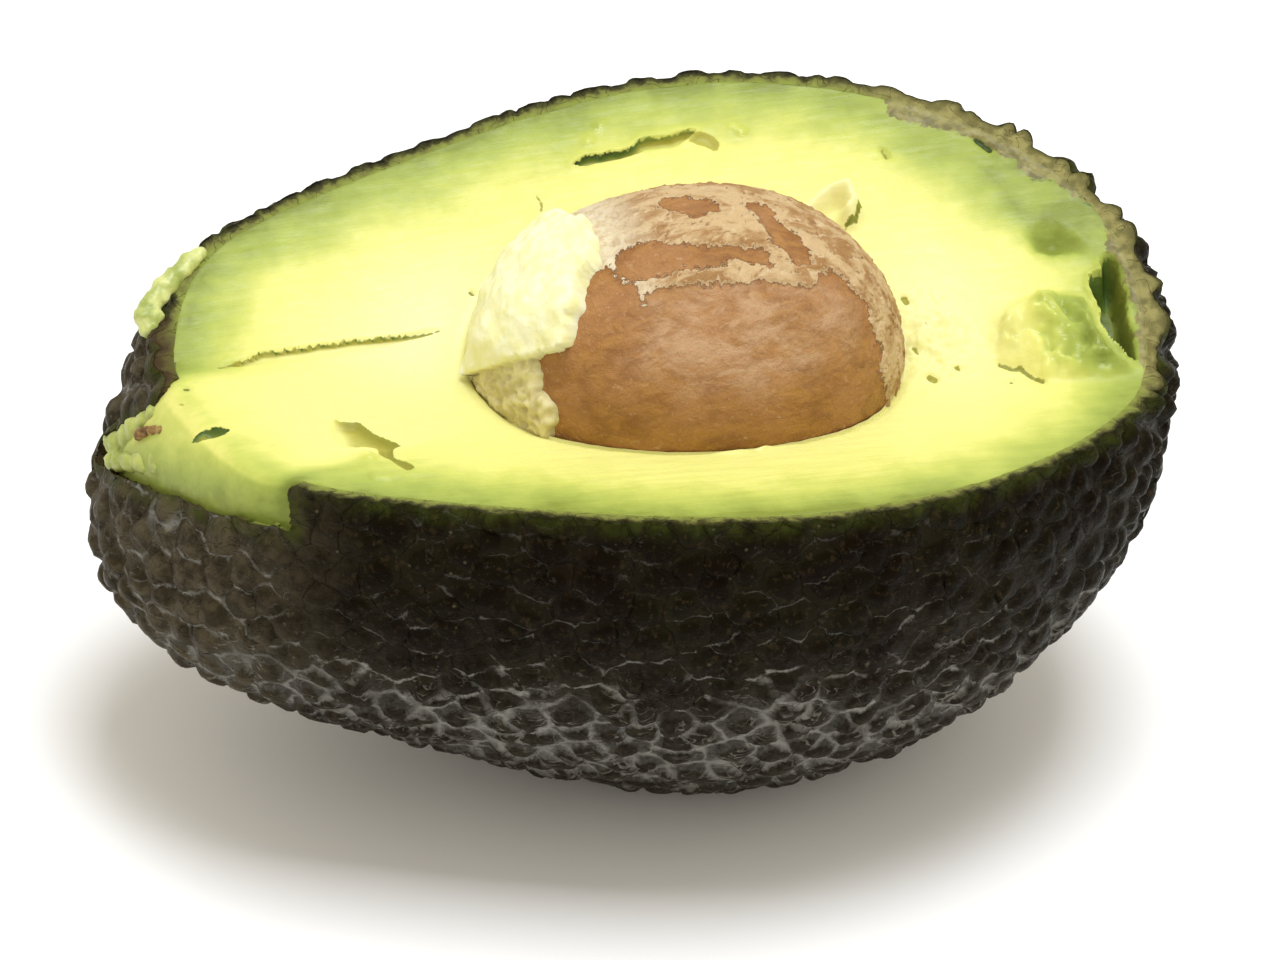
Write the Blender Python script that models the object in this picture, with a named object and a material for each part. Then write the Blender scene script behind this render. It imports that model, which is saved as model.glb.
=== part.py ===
"""Half an avocado with its pit, lying on the small flat spot of its peel.

The fruit lies along X, with its stem end at -X and its blossom end at +X. It was cut by two
knife strokes that meet in a shallow valley, so its far half (+Y) stands higher than its near
half (-Y). Every size is in metres. Shapes are worked out in the fruit's own frame, whose
origin is the middle of the whole fruit, and stand() sets them down on the table at z = 0.
"""

import math

import bmesh
import bpy
import numpy as np

MM = 0.001

# Whole fruit: length, and girth as a polynomial in the cosine of the angle from the stem end
LENGTH = 106 * MM
GIRTH = (35.5 * MM, -6.2 * MM, -3.8 * MM, 8.9 * MM, 11.9 * MM)
UNDERSIDE = 1.118
BOW = -1.4 * MM
LEAN_ACROSS = -0.09
LEAN_DOWN = 0.5
LEAN_POWER = 7.5

# Where the table and the middle of the footprint lie in the fruit's own frame
TABLE = -39.0 * MM
MIDDLE = (-1.69 * MM, -1.37 * MM)

# The two knife strokes: height over the middle of the fruit, rise along X and rise along Y
FAR_STROKE = (8.5 * MM, 0.0935, 0.378)
NEAR_STROKE = (5.75 * MM, -0.0145, -0.125)
VALLEY_SOFTNESS = 0.7 * MM
CUT_GRID = 2.5 * MM
CUT_REACH = (64 * MM, 46 * MM)
CUT_TOP = 60 * MM

# Step along the smooth outside from which its outward directions are taken
SKIN_STEP = 0.002

# Peel and its warts
PEEL_DEPTH = 1.25 * MM
GAP = 0.3 * MM
WART_SPACING = 3.95 * MM
WART_HEIGHT = 0.6 * MM
VALLEY_DEPTH = 0.5 * MM
WART_HEIGHT_SPREAD = (0.6, 1.25)
VALLEY_DEPTH_SPREAD = (0.7, 1.2)
WART_SHIFT = 0.33
MOST_WART_SHIFT = 0.1
WART_SEED = 11
WART_TABLE_STEPS = 400
# Area of skin for each wart, as a share of the square of the spacing, in a triangular pattern
TRIANGULAR_SHARE = 0.866
# The warts are joined up on an egg this much longer than it is wide
EGG_STRETCH = 1.5
INNER_GRID = (30, 22)
# Faces left by carving that are smaller than this are cleared away
TINY = 0.01 * MM

# Torn edge of the peel beside the stem
TEAR_START = (-52 * MM, -0.6 * MM)
TEAR_RISE = 0.58
TEAR_END_X = -42.4 * MM
TEAR_END_Y = 0.5 * MM
TEAR_OVERRUN = 12 * MM
TEAR_TOP = 20 * MM
TEAR_NEAR_Y = -40 * MM

# Pit, an egg that lies along X
PIT_CENTRE = (2.5 * MM, -3.8 * MM, 7.9 * MM)
PIT_SIZE = (21.6 * MM, 17.1 * MM, 17.1 * MM)
PIT_GRID = (32, 20)
PIT_UNEVEN = 0.25 * MM
PIT_LONG_WAVE = (5.1, 1.3, 4.3)
PIT_SHORT_WAVE = (0.6, 7.7, 3.1)

# Torn pulp that climbs the stem side of the pit
PULP_THICKNESS = 1.9 * MM
PULP_UPPER_EDGE = -0.52
PULP_LOWER_EDGE = -0.78
PULP_RAG = 0.07
PULP_FADE = 0.09
PULP_GRID = (30, 40)
# How the edge of the pulp goes from its lower to its upper place with height
PULP_EDGE_RISE = (0.5, 0.8)
PULP_LONG_WAVE = (23, 9)
PULP_SHORT_WAVE = (0.7, 41, -17, 1.0)

# Knife marks and dents in the face: centre, half sizes, and turn about Z in degrees
GASH = ((3.6 * MM, 21.0 * MM, 16.6 * MM), (8.2 * MM, 0.75 * MM, 2.4 * MM), 3)
NICK = ((-47.8 * MM, -8.8 * MM, 7.6 * MM), (2.4 * MM, 0.7 * MM, 1.4 * MM), 28)
GOUGE = ((-32.6 * MM, -14.0 * MM, 8.4 * MM), (6.2 * MM, 1.3 * MM, 1.2 * MM), -60)
DENT = ((41.8 * MM, 2.8 * MM, 14.4 * MM), (3.2 * MM, 2.2 * MM, 2.0 * MM), -30)
BLOSSOM_HOLLOW = ((46.4 * MM, -5.8 * MM, 9.6 * MM), (1.9 * MM, 6.4 * MM, 6.5 * MM), 8)
STEM_SOCKET = ((-52.6 * MM, -1.6 * MM, 3.2 * MM), (4.2 * MM, 3.0 * MM, 3.2 * MM), 0)

# Torn lumps that stand up from the face beside the hollow
LUMPS = (
    ((40.0 * MM, -9.2 * MM, 8.7 * MM), (6.0 * MM, 3.6 * MM, 1.9 * MM), 8),
    ((43.0 * MM, -12.2 * MM, 7.9 * MM), (2.9 * MM, 2.3 * MM, 1.6 * MM), -25),
    ((43.2 * MM, -5.2 * MM, 10.6 * MM), (2.6 * MM, 2.6 * MM, 1.7 * MM), 40),
)

# Smeared crumbs of flesh that hang over the far rim near the stem: centre and radius
CRUMBS = (
    ((-44.8 * MM, 17.0 * MM, 11.4 * MM), 1.5 * MM),
    ((-46.2 * MM, 15.8 * MM, 11.0 * MM), 1.2 * MM),
    ((-47.8 * MM, 15.0 * MM, 9.9 * MM), 1.9 * MM),
    ((-49.3 * MM, 13.6 * MM, 8.6 * MM), 1.3 * MM),
    ((-50.2 * MM, 12.4 * MM, 6.9 * MM), 1.9 * MM),
)
CRUMB_CLEARANCE = 1.35 * MM

# Dried end of the stem in its socket
STEM_BASE = (-52.2 * MM, -1.4 * MM, 3.4 * MM)
STEM_TIP = (-49.9 * MM, -2.6 * MM, 4.4 * MM)
STEM_RADII = (1.3 * MM, 1.6 * MM, 1.0 * MM)
STEM_SIDES = 10
STEM_SWELL = 0.12

# Rows and columns of each dent and lump
LUMP_GRID = (7, 12)
# Edges between faces that turn more than this stay sharp, in degrees
SHARP_EDGE = 50

COLOURS = {
    "peel": ((0.030, 0.033, 0.018), 0.5),
    "flesh": ((0.80, 0.80, 0.36), 0.35),
    "pit": ((0.42, 0.19, 0.07), 0.55),
    "stem_remnant": ((0.36, 0.18, 0.05), 0.7),
    "flesh_crumbs": ((0.62, 0.68, 0.26), 0.35),
}


def clear_scene():
    for obj in list(bpy.data.objects):
        bpy.data.objects.remove(obj, do_unlink=True)


def girth(along):
    """Radius factor at a place along the fruit, from -1 at the stem to 1 at the blossom end."""
    return sum(term * (-along) ** power for power, term in enumerate(GIRTH))


def skin(directions):
    """Points of the smooth outside of the fruit, one for each unit direction."""
    along, across, up = directions.T
    deep = np.where(up < 0, UNDERSIDE, 1.0)
    x = LENGTH / 2 * along
    y = girth(along) * across + BOW * (1 - along**2)
    z = girth(along) * up * deep
    lean = np.clip(-along, 0, 1) ** LEAN_POWER
    x = x + lean * (LEAN_ACROSS * y + LEAN_DOWN * z)
    return np.stack([x, y, z], axis=1)


def unit(vectors):
    return vectors / np.linalg.norm(vectors, axis=1, keepdims=True)


def skin_normals(directions):
    """Outward normals of the smooth outside, from two small steps in each direction."""
    step = SKIN_STEP
    helper = np.where(np.abs(directions[:, :1]) < 0.8, [[1.0, 0, 0]], [[0, 1.0, 0]])
    side = unit(np.cross(directions, helper))
    other = np.cross(directions, side)
    run_a = skin(unit(directions + step * side)) - skin(unit(directions - step * side))
    run_b = skin(unit(directions + step * other)) - skin(unit(directions - step * other))
    normals = unit(np.cross(run_a, run_b))
    outward = np.sign(np.sum(normals * directions, axis=1, keepdims=True))
    return normals * outward


def raised(directions, height):
    """Points at a height over the smooth outside, or below it where the height is negative."""
    return skin(directions) + skin_normals(directions) * np.reshape(height, (-1, 1))


def face_height(x, y):
    """Height of the cut face: the higher of the two knife strokes, with a soft valley."""
    far = FAR_STROKE[0] + FAR_STROKE[1] * x + FAR_STROKE[2] * y
    near = NEAR_STROKE[0] + NEAR_STROKE[1] * x + NEAR_STROKE[2] * y
    return 0.5 * (far + near + np.sqrt((far - near) ** 2 + VALLEY_SOFTNESS**2))


def stand(points):
    """Moves points from the fruit's own frame to where the fruit lies on the table."""
    return np.asarray(points) - np.array([MIDDLE[0], MIDDLE[1], TABLE])


def new_mesh_object(name, points, faces):
    mesh = bpy.data.meshes.new(name)
    mesh.from_pydata([tuple(p) for p in stand(points)], [], [tuple(f) for f in faces])
    mesh.update()
    obj = bpy.data.objects.new(name, mesh)
    bpy.context.collection.objects.link(obj)
    return obj


def grid_faces(rows, columns):
    """Triangles of a closed ball of rings, every other ring half a step round from the last."""
    faces = []
    last = rows * columns + 1
    end_ring = 1 + (rows - 1) * columns
    for k in range(columns):
        after = (k + 1) % columns
        faces.append((0, 1 + after, 1 + k))
        faces.append((last, end_ring + k, end_ring + after))
        for row in range(rows - 1):
            a = 1 + row * columns
            b = a + columns
            if row % 2 == 0:
                faces.append((a + k, a + after, b + k))
                faces.append((a + after, b + after, b + k))
            else:
                faces.append((a + k, b + after, b + k))
                faces.append((a + k, a + after, b + after))
    return faces


def ball_directions(rows, columns):
    """Unit directions of a ball whose poles lie on the X axis."""
    directions = [(-1.0, 0.0, 0.0)]
    for row in range(rows):
        polar = math.pi * (row + 1) / (rows + 1)
        for k in range(columns):
            turn = 2 * math.pi * (k + 0.5 * (row % 2)) / columns
            ring = math.sin(polar)
            directions.append(
                (-math.cos(polar), ring * math.cos(turn), ring * math.sin(turn))
            )
    directions.append((1.0, 0.0, 0.0))
    return np.array(directions)


def turned(points, degrees):
    angle = math.radians(degrees)
    c, s = math.cos(angle), math.sin(angle)
    return points @ np.array([[c, s, 0], [-s, c, 0], [0, 0, 1]])


def lump_object(name, centre, half_sizes, degrees):
    rows, columns = LUMP_GRID
    directions = ball_directions(rows, columns)
    points = turned(directions * np.array(half_sizes), degrees) + np.array(centre)
    return new_mesh_object(name, points, grid_faces(rows, columns))


def inner_body(name, depth):
    """The fruit's smooth form at a depth below its outside, for the peel's inner wall."""
    rows, columns = INNER_GRID
    directions = ball_directions(rows, columns)
    return new_mesh_object(name, raised(directions, -depth), grid_faces(rows, columns))


def cut_block(name, lift=0.0):
    """A block over the cut face, lifted a little where asked, that carves the fruit open."""
    across_x = round(2 * CUT_REACH[0] / CUT_GRID)
    across_y = round(2 * CUT_REACH[1] / CUT_GRID)
    xs = np.linspace(-CUT_REACH[0], CUT_REACH[0], across_x + 1)
    ys = np.linspace(-CUT_REACH[1], CUT_REACH[1], across_y + 1)
    points = [(x, y, face_height(x, y) + lift) for x in xs for y in ys]
    columns = len(ys)
    faces = []
    for i in range(across_x):
        for j in range(across_y):
            a = i * columns + j
            b = a + columns
            faces.append((a, a + 1, b + 1))
            faces.append((a, b + 1, b))
    edge = [i * columns for i in range(across_x + 1)]
    edge += [across_x * columns + j for j in range(1, across_y + 1)]
    edge += [i * columns + across_y for i in range(across_x - 1, -1, -1)]
    edge += [j for j in range(across_y - 1, 0, -1)]
    first = len(points)
    points += [(points[k][0], points[k][1], CUT_TOP) for k in edge]
    for k, low in enumerate(edge):
        after = (k + 1) % len(edge)
        faces.append((low, edge[after], first + after, first + k))
    faces.append(tuple(first + k for k in range(len(edge))))
    return new_mesh_object(name, points, faces)


def wart_directions():
    """Places of the warts: a spiral with the same area of skin for each, then shifted."""
    along = np.linspace(-1, 1, WART_TABLE_STEPS + 1)
    ring = np.sqrt(1 - along**2) * girth(along) * (1 + UNDERSIDE) / 2
    run = np.hypot(np.diff(along) * LENGTH / 2, np.diff(ring))
    area = np.concatenate([[0], np.cumsum(math.pi * run * (ring[1:] + ring[:-1]))])
    count = round(area[-1] / (TRIANGULAR_SHARE * WART_SPACING**2))
    shares = (np.arange(count) + 0.5) / count * area[-1]
    place = np.interp(shares, area, along)
    turn = math.pi * (1 + math.sqrt(5)) * np.arange(count)
    width = np.sqrt(1 - place**2)
    directions = np.stack([place, width * np.cos(turn), width * np.sin(turn)], axis=1)
    shift = np.random.default_rng(WART_SEED).uniform(-1, 1, directions.shape)
    reach = WART_SHIFT * WART_SPACING / np.linalg.norm(skin(directions), axis=1)
    return unit(directions + shift * np.clip(reach, 0, MOST_WART_SHIFT)[:, None])


def triangles_between(directions):
    """Triangles that join neighbouring warts, as the hull of a long smooth egg."""
    bm = bmesh.new()
    stretch = np.array([EGG_STRETCH, 1.0, 1.0])
    for point in directions * stretch:
        bm.verts.new(point)
    bm.verts.ensure_lookup_table()
    bm.verts.index_update()
    bmesh.ops.convex_hull(bm, input=bm.verts[:])
    bmesh.ops.triangulate(bm, faces=bm.faces[:])
    triangles = [tuple(v.index for v in face.verts) for face in bm.faces]
    bm.free()
    outward = []
    for a, b, c in triangles:
        pa, pb, pc = directions[a], directions[b], directions[c]
        flip = np.dot(np.cross(pb - pa, pc - pa), pa + pb + pc) < 0
        outward.append((a, c, b) if flip else (a, b, c))
    return outward


def warty_skin(name):
    """Closed outside of the whole fruit: each wart is a low cone with its foot in the valleys."""
    warts = wart_directions()
    triangles = triangles_between(warts)
    draws = np.random.default_rng(WART_SEED + 1)
    heights = WART_HEIGHT * draws.uniform(*WART_HEIGHT_SPREAD, len(warts))
    middles = unit(np.array([warts[list(t)].sum(axis=0) for t in triangles]))
    depths = VALLEY_DEPTH * draws.uniform(*VALLEY_DEPTH_SPREAD, len(middles))
    points = np.concatenate([raised(warts, heights), raised(middles, -depths)])
    beside = {}
    for index, (a, b, c) in enumerate(triangles):
        for edge in ((a, b), (b, c), (c, a)):
            beside[edge] = len(warts) + index
    faces = []
    for (a, b), left in beside.items():
        right = beside[(b, a)]
        faces.append((a, right, left))
    points[:, 2] = np.maximum(points[:, 2], TABLE)
    return new_mesh_object(name, points, faces)


def carve(obj, tool, operation):
    """Applies one Boolean to an object, removes its tool and clears tiny faces."""
    modifier = obj.modifiers.new("carve", "BOOLEAN")
    modifier.operation = operation
    modifier.object = tool
    modifier.solver = "EXACT"
    bpy.context.view_layer.update()
    evaluated = obj.evaluated_get(bpy.context.evaluated_depsgraph_get())
    mesh = bpy.data.meshes.new_from_object(evaluated)
    obj.modifiers.remove(modifier)
    obj.data = mesh
    mesh.name = obj.name
    bpy.data.objects.remove(tool, do_unlink=True)
    bm = bmesh.new()
    bm.from_mesh(mesh)
    bmesh.ops.triangulate(bm, faces=bm.faces[:])
    bmesh.ops.dissolve_degenerate(bm, dist=TINY, edges=bm.edges[:])
    bmesh.ops.triangulate(bm, faces=bm.faces[:])
    bm.to_mesh(mesh)
    bm.free()


def keep_largest_body(obj):
    """Drops loose scraps that carving leaves beside the main body."""
    bm = bmesh.new()
    bm.from_mesh(obj.data)
    unseen = set(bm.verts)
    bodies = []
    while unseen:
        queue = [unseen.pop()]
        body = set(queue)
        while queue:
            vert = queue.pop()
            for edge in vert.link_edges:
                other = edge.other_vert(vert)
                if other in unseen:
                    unseen.discard(other)
                    body.add(other)
                    queue.append(other)
        bodies.append(body)
    bodies.sort(key=len, reverse=True)
    for body in bodies[1:]:
        bmesh.ops.delete(bm, geom=list(body), context="VERTS")
    bm.to_mesh(obj.data)
    bm.free()


def tear_block(name):
    """Wedge that takes the peel off beside the stem, above a slanting torn edge."""
    start_x, start_z = TEAR_START
    low_x = start_x - TEAR_OVERRUN
    low_z = start_z - TEAR_OVERRUN * TEAR_RISE
    end_z = start_z + (TEAR_END_X - start_x) * TEAR_RISE
    outline = [(low_x, low_z), (TEAR_END_X, end_z), (TEAR_END_X, TEAR_TOP), (low_x, TEAR_TOP)]
    points = [(x, y, z) for y in (TEAR_NEAR_Y, TEAR_END_Y) for x, z in outline]
    faces = [(0, 1, 2, 3), (7, 6, 5, 4)]
    faces += [(k, k + 4, (k + 1) % 4 + 4, (k + 1) % 4) for k in range(4)]
    return new_mesh_object(name, points, faces)


def make_peel():
    peel = warty_skin("peel")
    carve(peel, cut_block("cut"), "DIFFERENCE")
    carve(peel, inner_body("inside", PEEL_DEPTH), "DIFFERENCE")
    carve(peel, tear_block("tear"), "DIFFERENCE")
    keep_largest_body(peel)
    return peel


def pit_points(extra, directions):
    """Egg of the pit, a little uneven, with extra thickness where it is given."""
    along, across, up = directions.T
    turns, start, turns_across = PIT_LONG_WAVE
    wave = np.sin(turns * along + start) * np.cos(turns_across * across)
    share, turns_up, turns_along = PIT_SHORT_WAVE
    wave = wave + share * np.sin(turns_up * up + turns_along * along)
    size = np.array(PIT_SIZE) + np.reshape(extra, (-1, 1))
    uneven = PIT_UNEVEN * np.reshape(wave, (-1, 1))
    return np.array(PIT_CENTRE) + directions * (size + uneven)


def make_pit():
    rows, columns = PIT_GRID
    directions = ball_directions(rows, columns)
    return new_mesh_object("pit", pit_points(0.0, directions), grid_faces(rows, columns))


def pit_hollow(name):
    rows, columns = PIT_GRID
    directions = ball_directions(rows, columns)
    return new_mesh_object(name, pit_points(GAP, directions), grid_faces(rows, columns))


def pulp_cap(name):
    """Body that stands out past the pit only on its stem side, where the pulp clings."""
    rows, columns = PULP_GRID
    directions = ball_directions(rows, columns)
    along, across, up = directions.T
    rise = np.clip(PULP_EDGE_RISE[0] + PULP_EDGE_RISE[1] * up, 0, 1)
    edge = PULP_LOWER_EDGE + (PULP_UPPER_EDGE - PULP_LOWER_EDGE) * rise
    rag = np.sin(PULP_LONG_WAVE[0] * up + PULP_LONG_WAVE[1] * across)
    share, turns_across, turns_up, start = PULP_SHORT_WAVE
    rag = rag + share * np.sin(turns_across * across + turns_up * up + start)
    covered = np.clip((edge + PULP_RAG * rag - along) / PULP_FADE, -1, 1)
    return new_mesh_object(
        name,
        pit_points(PULP_THICKNESS * covered, directions),
        grid_faces(rows, columns),
    )


def make_flesh():
    flesh = inner_body("flesh", PEEL_DEPTH + GAP)
    carve(flesh, cut_block("cut"), "DIFFERENCE")
    for index, lump in enumerate(LUMPS):
        carve(flesh, lump_object("lump_%d" % index, *lump), "UNION")
    carve(flesh, pulp_cap("pulp"), "UNION")
    for index, dent in enumerate((GASH, NICK, GOUGE, DENT, BLOSSOM_HOLLOW, STEM_SOCKET)):
        carve(flesh, lump_object("dent_%d" % index, *dent), "DIFFERENCE")
    carve(flesh, pit_hollow("hollow"), "DIFFERENCE")
    keep_largest_body(flesh)
    return flesh


def make_crumbs():
    """Crumbs fused in a row, carved to lie on the rim and over the outside of the peel."""
    centre, radius = CRUMBS[0]
    crumbs = lump_object("flesh_crumbs", centre, (radius,) * 3, 0)
    for index, (centre, radius) in enumerate(CRUMBS[1:]):
        carve(crumbs, lump_object("crumb_%d" % index, centre, (radius,) * 3, 0), "UNION")
    rows, columns = INNER_GRID
    directions = ball_directions(rows, columns)
    fruit = new_mesh_object(
        "fruit", raised(directions, CRUMB_CLEARANCE), grid_faces(rows, columns)
    )
    carve(fruit, cut_block("cut", GAP), "DIFFERENCE")
    carve(crumbs, fruit, "DIFFERENCE")
    keep_largest_body(crumbs)
    return crumbs


def make_stem_remnant():
    """Short dried plug, thickest in its middle, that leans out of the stem socket."""
    base, tip = np.array(STEM_BASE), np.array(STEM_TIP)
    axis = (tip - base) / np.linalg.norm(tip - base)
    side = np.cross(axis, [0.0, 0.0, 1.0])
    side = side / np.linalg.norm(side)
    other = np.cross(axis, side)
    points = []
    for level, radius in enumerate(STEM_RADII):
        middle = base + (tip - base) * level / (len(STEM_RADII) - 1)
        for k in range(STEM_SIDES):
            turn = 2 * math.pi * k / STEM_SIDES
            swell = radius * (1 + STEM_SWELL * math.sin(3 * turn + level))
            points.append(middle + swell * (math.cos(turn) * side + math.sin(turn) * other))
    faces = [tuple(range(STEM_SIDES))]
    top = (len(STEM_RADII) - 1) * STEM_SIDES
    faces.append(tuple(top + k for k in reversed(range(STEM_SIDES))))
    for level in range(len(STEM_RADII) - 1):
        a = level * STEM_SIDES
        for k in range(STEM_SIDES):
            after = (k + 1) % STEM_SIDES
            faces.append((a + k, a + STEM_SIDES + k, a + STEM_SIDES + after, a + after))
    return new_mesh_object("stem_remnant", points, faces)


def finish(obj):
    """Gives a piece its material, turns its faces outward and shades it smooth."""
    colour, roughness = COLOURS[obj.name]
    material = bpy.data.materials.new(obj.name)
    material.use_nodes = True
    shader = material.node_tree.nodes["Principled BSDF"]
    shader.inputs["Base Color"].default_value = (*colour, 1.0)
    shader.inputs["Roughness"].default_value = roughness
    shader.inputs["Metallic"].default_value = 0.0
    obj.data.materials.clear()
    obj.data.materials.append(material)
    bm = bmesh.new()
    bm.from_mesh(obj.data)
    bmesh.ops.recalc_face_normals(bm, faces=bm.faces[:])
    bm.to_mesh(obj.data)
    bm.free()
    obj.data.shade_smooth()
    obj.data.set_sharp_from_angle(angle=math.radians(SHARP_EDGE))


def main():
    clear_scene()
    for piece in (make_peel(), make_flesh(), make_pit(), make_crumbs(), make_stem_remnant()):
        finish(piece)


main()
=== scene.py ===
"""Looks of the avocado half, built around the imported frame.

Shapes are worked out in millimetres in the fruit's own frame, whose origin is the middle of the
whole fruit, with the same formulas and seeds as the CAD source. stand() sets them on the table.
"""

import functools
import itertools
import math

import bpy
import numpy as np
from mathutils import Matrix, Vector
from mathutils.kdtree import KDTree


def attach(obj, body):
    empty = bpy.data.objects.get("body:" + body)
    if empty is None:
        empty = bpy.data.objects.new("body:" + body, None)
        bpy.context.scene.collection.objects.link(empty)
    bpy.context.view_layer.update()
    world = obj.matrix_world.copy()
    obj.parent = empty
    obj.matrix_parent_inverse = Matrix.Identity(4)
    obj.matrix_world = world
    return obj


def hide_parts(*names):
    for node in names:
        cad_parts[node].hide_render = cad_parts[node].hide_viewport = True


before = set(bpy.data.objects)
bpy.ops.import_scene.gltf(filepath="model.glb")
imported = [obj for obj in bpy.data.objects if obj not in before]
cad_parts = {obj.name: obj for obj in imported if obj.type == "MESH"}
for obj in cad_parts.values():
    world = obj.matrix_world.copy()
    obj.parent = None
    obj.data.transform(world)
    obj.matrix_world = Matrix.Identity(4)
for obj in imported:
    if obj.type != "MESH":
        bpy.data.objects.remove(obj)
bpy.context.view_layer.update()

MM = 0.001
# Over this depth from the peel the flesh turns from green to yellow
GREEN_DEPTH = 16.0

# The CAD source's own values, in millimetres
LENGTH = 106.0
GIRTH = (35.5, -6.2, -3.8, 8.9, 11.9)
UNDERSIDE = 1.118
BOW = -1.4
LEAN_ACROSS = -0.09
LEAN_DOWN = 0.5
LEAN_POWER = 7.5
TABLE = -39.0
MIDDLE = (-1.69, -1.37)
FAR_STROKE = (8.5, 0.0935, 0.378)
NEAR_STROKE = (5.75, -0.0145, -0.125)
VALLEY_SOFTNESS = 0.7
PEEL_DEPTH = 1.25
WART_SPACING = 3.95
WART_HEIGHT = 0.6
WART_SHIFT = 0.33
WART_SEED = 11
TEAR_END_X = -42.4
PIT_CENTRE = np.array([2.5, -3.8, 7.9])
PIT_SIZE = np.array([21.6, 17.1, 17.1])
PIT_UNEVEN = 0.25


# ---- short ways to write sums on arrays ----


def table(*columns):
    return np.stack(columns, axis=-1)


def step(low, high, value):
    t = np.clip((value - low) / (high - low), 0, 1)
    return t * t * (3 - 2 * t)


def hump(away, width):
    return np.exp(-((away / width) ** 2))


def spot(x, y, centre_x, centre_y, reach_x, reach_y):
    return np.exp(-(((x - centre_x) / reach_x) ** 2 + ((y - centre_y) / reach_y) ** 2))


def unit(vectors):
    return vectors / np.linalg.norm(vectors, axis=1, keepdims=True)


def pairs(*numbers):
    """Points from their x and y in turn."""
    return np.reshape(np.array(numbers, float), (-1, 2))


def settle(low, high, passes, below):
    """Halves the range between low and high until it closes on where below() turns false."""
    for _ in range(passes):
        middle = (low + high) / 2
        under = below(middle)
        low, high = np.where(under, middle, low), np.where(under, high, middle)
    return (low + high) / 2


# ---- shape of the whole fruit ----


def girth(along):
    return sum(term * (-along) ** power for power, term in enumerate(GIRTH))


def skin(directions):
    """Points of the smooth outside of the fruit, one for each unit direction."""
    along, across, up = directions.T
    deep = np.where(up < 0, UNDERSIDE, 1.0)
    x = LENGTH / 2 * along
    y = girth(along) * across + BOW * (1 - along**2)
    z = girth(along) * up * deep
    lean = np.clip(-along, 0, 1) ** LEAN_POWER
    return table(x + lean * (LEAN_ACROSS * y + LEAN_DOWN * z), y, z)


def raised(directions, height):
    """Points over the skin by a height, along the skin's own normals."""
    nudge = 0.002
    helper = np.where(np.abs(directions[:, :1]) < 0.8, [[1.0, 0, 0]], [[0, 1.0, 0]])
    side = unit(np.cross(directions, helper))
    other = np.cross(directions, side)
    runs = [
        skin(unit(directions + nudge * way)) - skin(unit(directions - nudge * way))
        for way in (side, other)
    ]
    normals = unit(np.cross(*runs))
    normals = normals * np.sign(np.sum(normals * directions, axis=1, keepdims=True))
    return skin(directions) + normals * np.reshape(height, (-1, 1))


def face_height(x, y):
    far, near = (a + b * x + c * y for a, b, c in (FAR_STROKE, NEAR_STROKE))
    return 0.5 * (far + near + np.sqrt((far - near) ** 2 + VALLEY_SOFTNESS**2))


def stand(points):
    """From the fruit's own frame in millimetres to the row frame in metres."""
    return (np.asarray(points) - np.array([*MIDDLE, TABLE])) * MM


# ---- random but repeatable roughness ----


def hashed(cells, seed):
    whole = np.uint64
    mask = whole(0xFFFFFFFF)
    c = (cells + 100003).astype(whole)
    h = c[..., 0] * whole(73856093) ^ c[..., 1] * whole(19349663)
    h = (h ^ c[..., 2] * whole(83492791)) + whole(seed * 7919 + 17)
    for _ in range(3):
        h = ((h ^ (h >> whole(15))) & mask) * whole(0x45D9F3B)
    return (h ^ (h >> whole(16))) & mask


def noise(points, size, seed=0):
    """Smooth noise of about -1 to 1 with lumps of the given size."""
    q = np.asarray(points, float) / size + 31.7 * (seed % 13)
    cell = np.floor(q)
    f = q - cell
    s = f * f * f * (f * (f * 6 - 15) + 10)
    total = np.zeros(len(q))
    for corner in itertools.product((0, 1), repeat=3):
        h = hashed(cell + corner, seed)
        weight = np.ones(len(q))
        slope = np.zeros(len(q))
        for axis in range(3):
            bits = (h >> np.uint64(10 * axis)) & np.uint64(1023)
            slope += (bits.astype(float) / 511.5 - 1) * (f[:, axis] - corner[axis])
            weight *= s[:, axis] if corner[axis] else 1 - s[:, axis]
        total += weight * slope
    return total * 1.5


def layered(points, size, seed=0, layers=3):
    return sum(noise(points, size / 2**layer, seed + layer) / 2**layer for layer in range(layers))


# ---- meshes ----


def add_object(name, data):
    obj = bpy.data.objects.new(name, data)
    bpy.context.scene.collection.objects.link(obj)
    return obj


def new_piece(name, points, polygons, material, stands_for=(), attributes=None, sharp=None):
    """Makes a piece from points in the fruit's frame, and lets it ride on the root body."""
    mesh = bpy.data.meshes.new(name)
    faces = [face for group in polygons for face in group.tolist()]
    mesh.from_pydata(stand(points).tolist(), [], faces)
    for key, values in (attributes or {}).items():
        layer = mesh.attributes.new(key, "FLOAT", "POINT")
        layer.data.foreach_set("value", values.astype(np.float32))
    mesh.shade_smooth()
    if sharp:
        mesh.set_sharp_from_angle(angle=math.radians(sharp))
    mesh.materials.append(material)
    piece = add_object(name, mesh)
    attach(piece, "root")
    if stands_for:
        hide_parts(*stands_for)


def ring_quads(rows, columns):
    """Quads between rows of points, each row closed into a ring."""
    i, j = np.meshgrid(np.arange(rows - 1), np.arange(columns), indexing="ij")
    a = i * columns + j
    b = i * columns + (j + 1) % columns
    return table(a, b, b + columns, a + columns).reshape(-1, 4)


def fan(ring, centre):
    """Triangles from each point of a ring and the next one to a centre."""
    return table(ring, np.roll(ring, -1), np.full(len(ring), centre))


def nearest(points, centres, count=1):
    """Distance and number of the nearest centres, as one column for each of them."""
    tree = KDTree(len(centres))
    for index, centre in enumerate(centres):
        tree.insert(Vector(centre), index)
    tree.balance()
    near = [tree.find_n(Vector(point), count) for point in points]
    gaps = np.array([[gap for _, _, gap in row] for row in near])
    return gaps, np.array([[index for _, index, _ in row] for row in near])


# ---- materials ----


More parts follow.
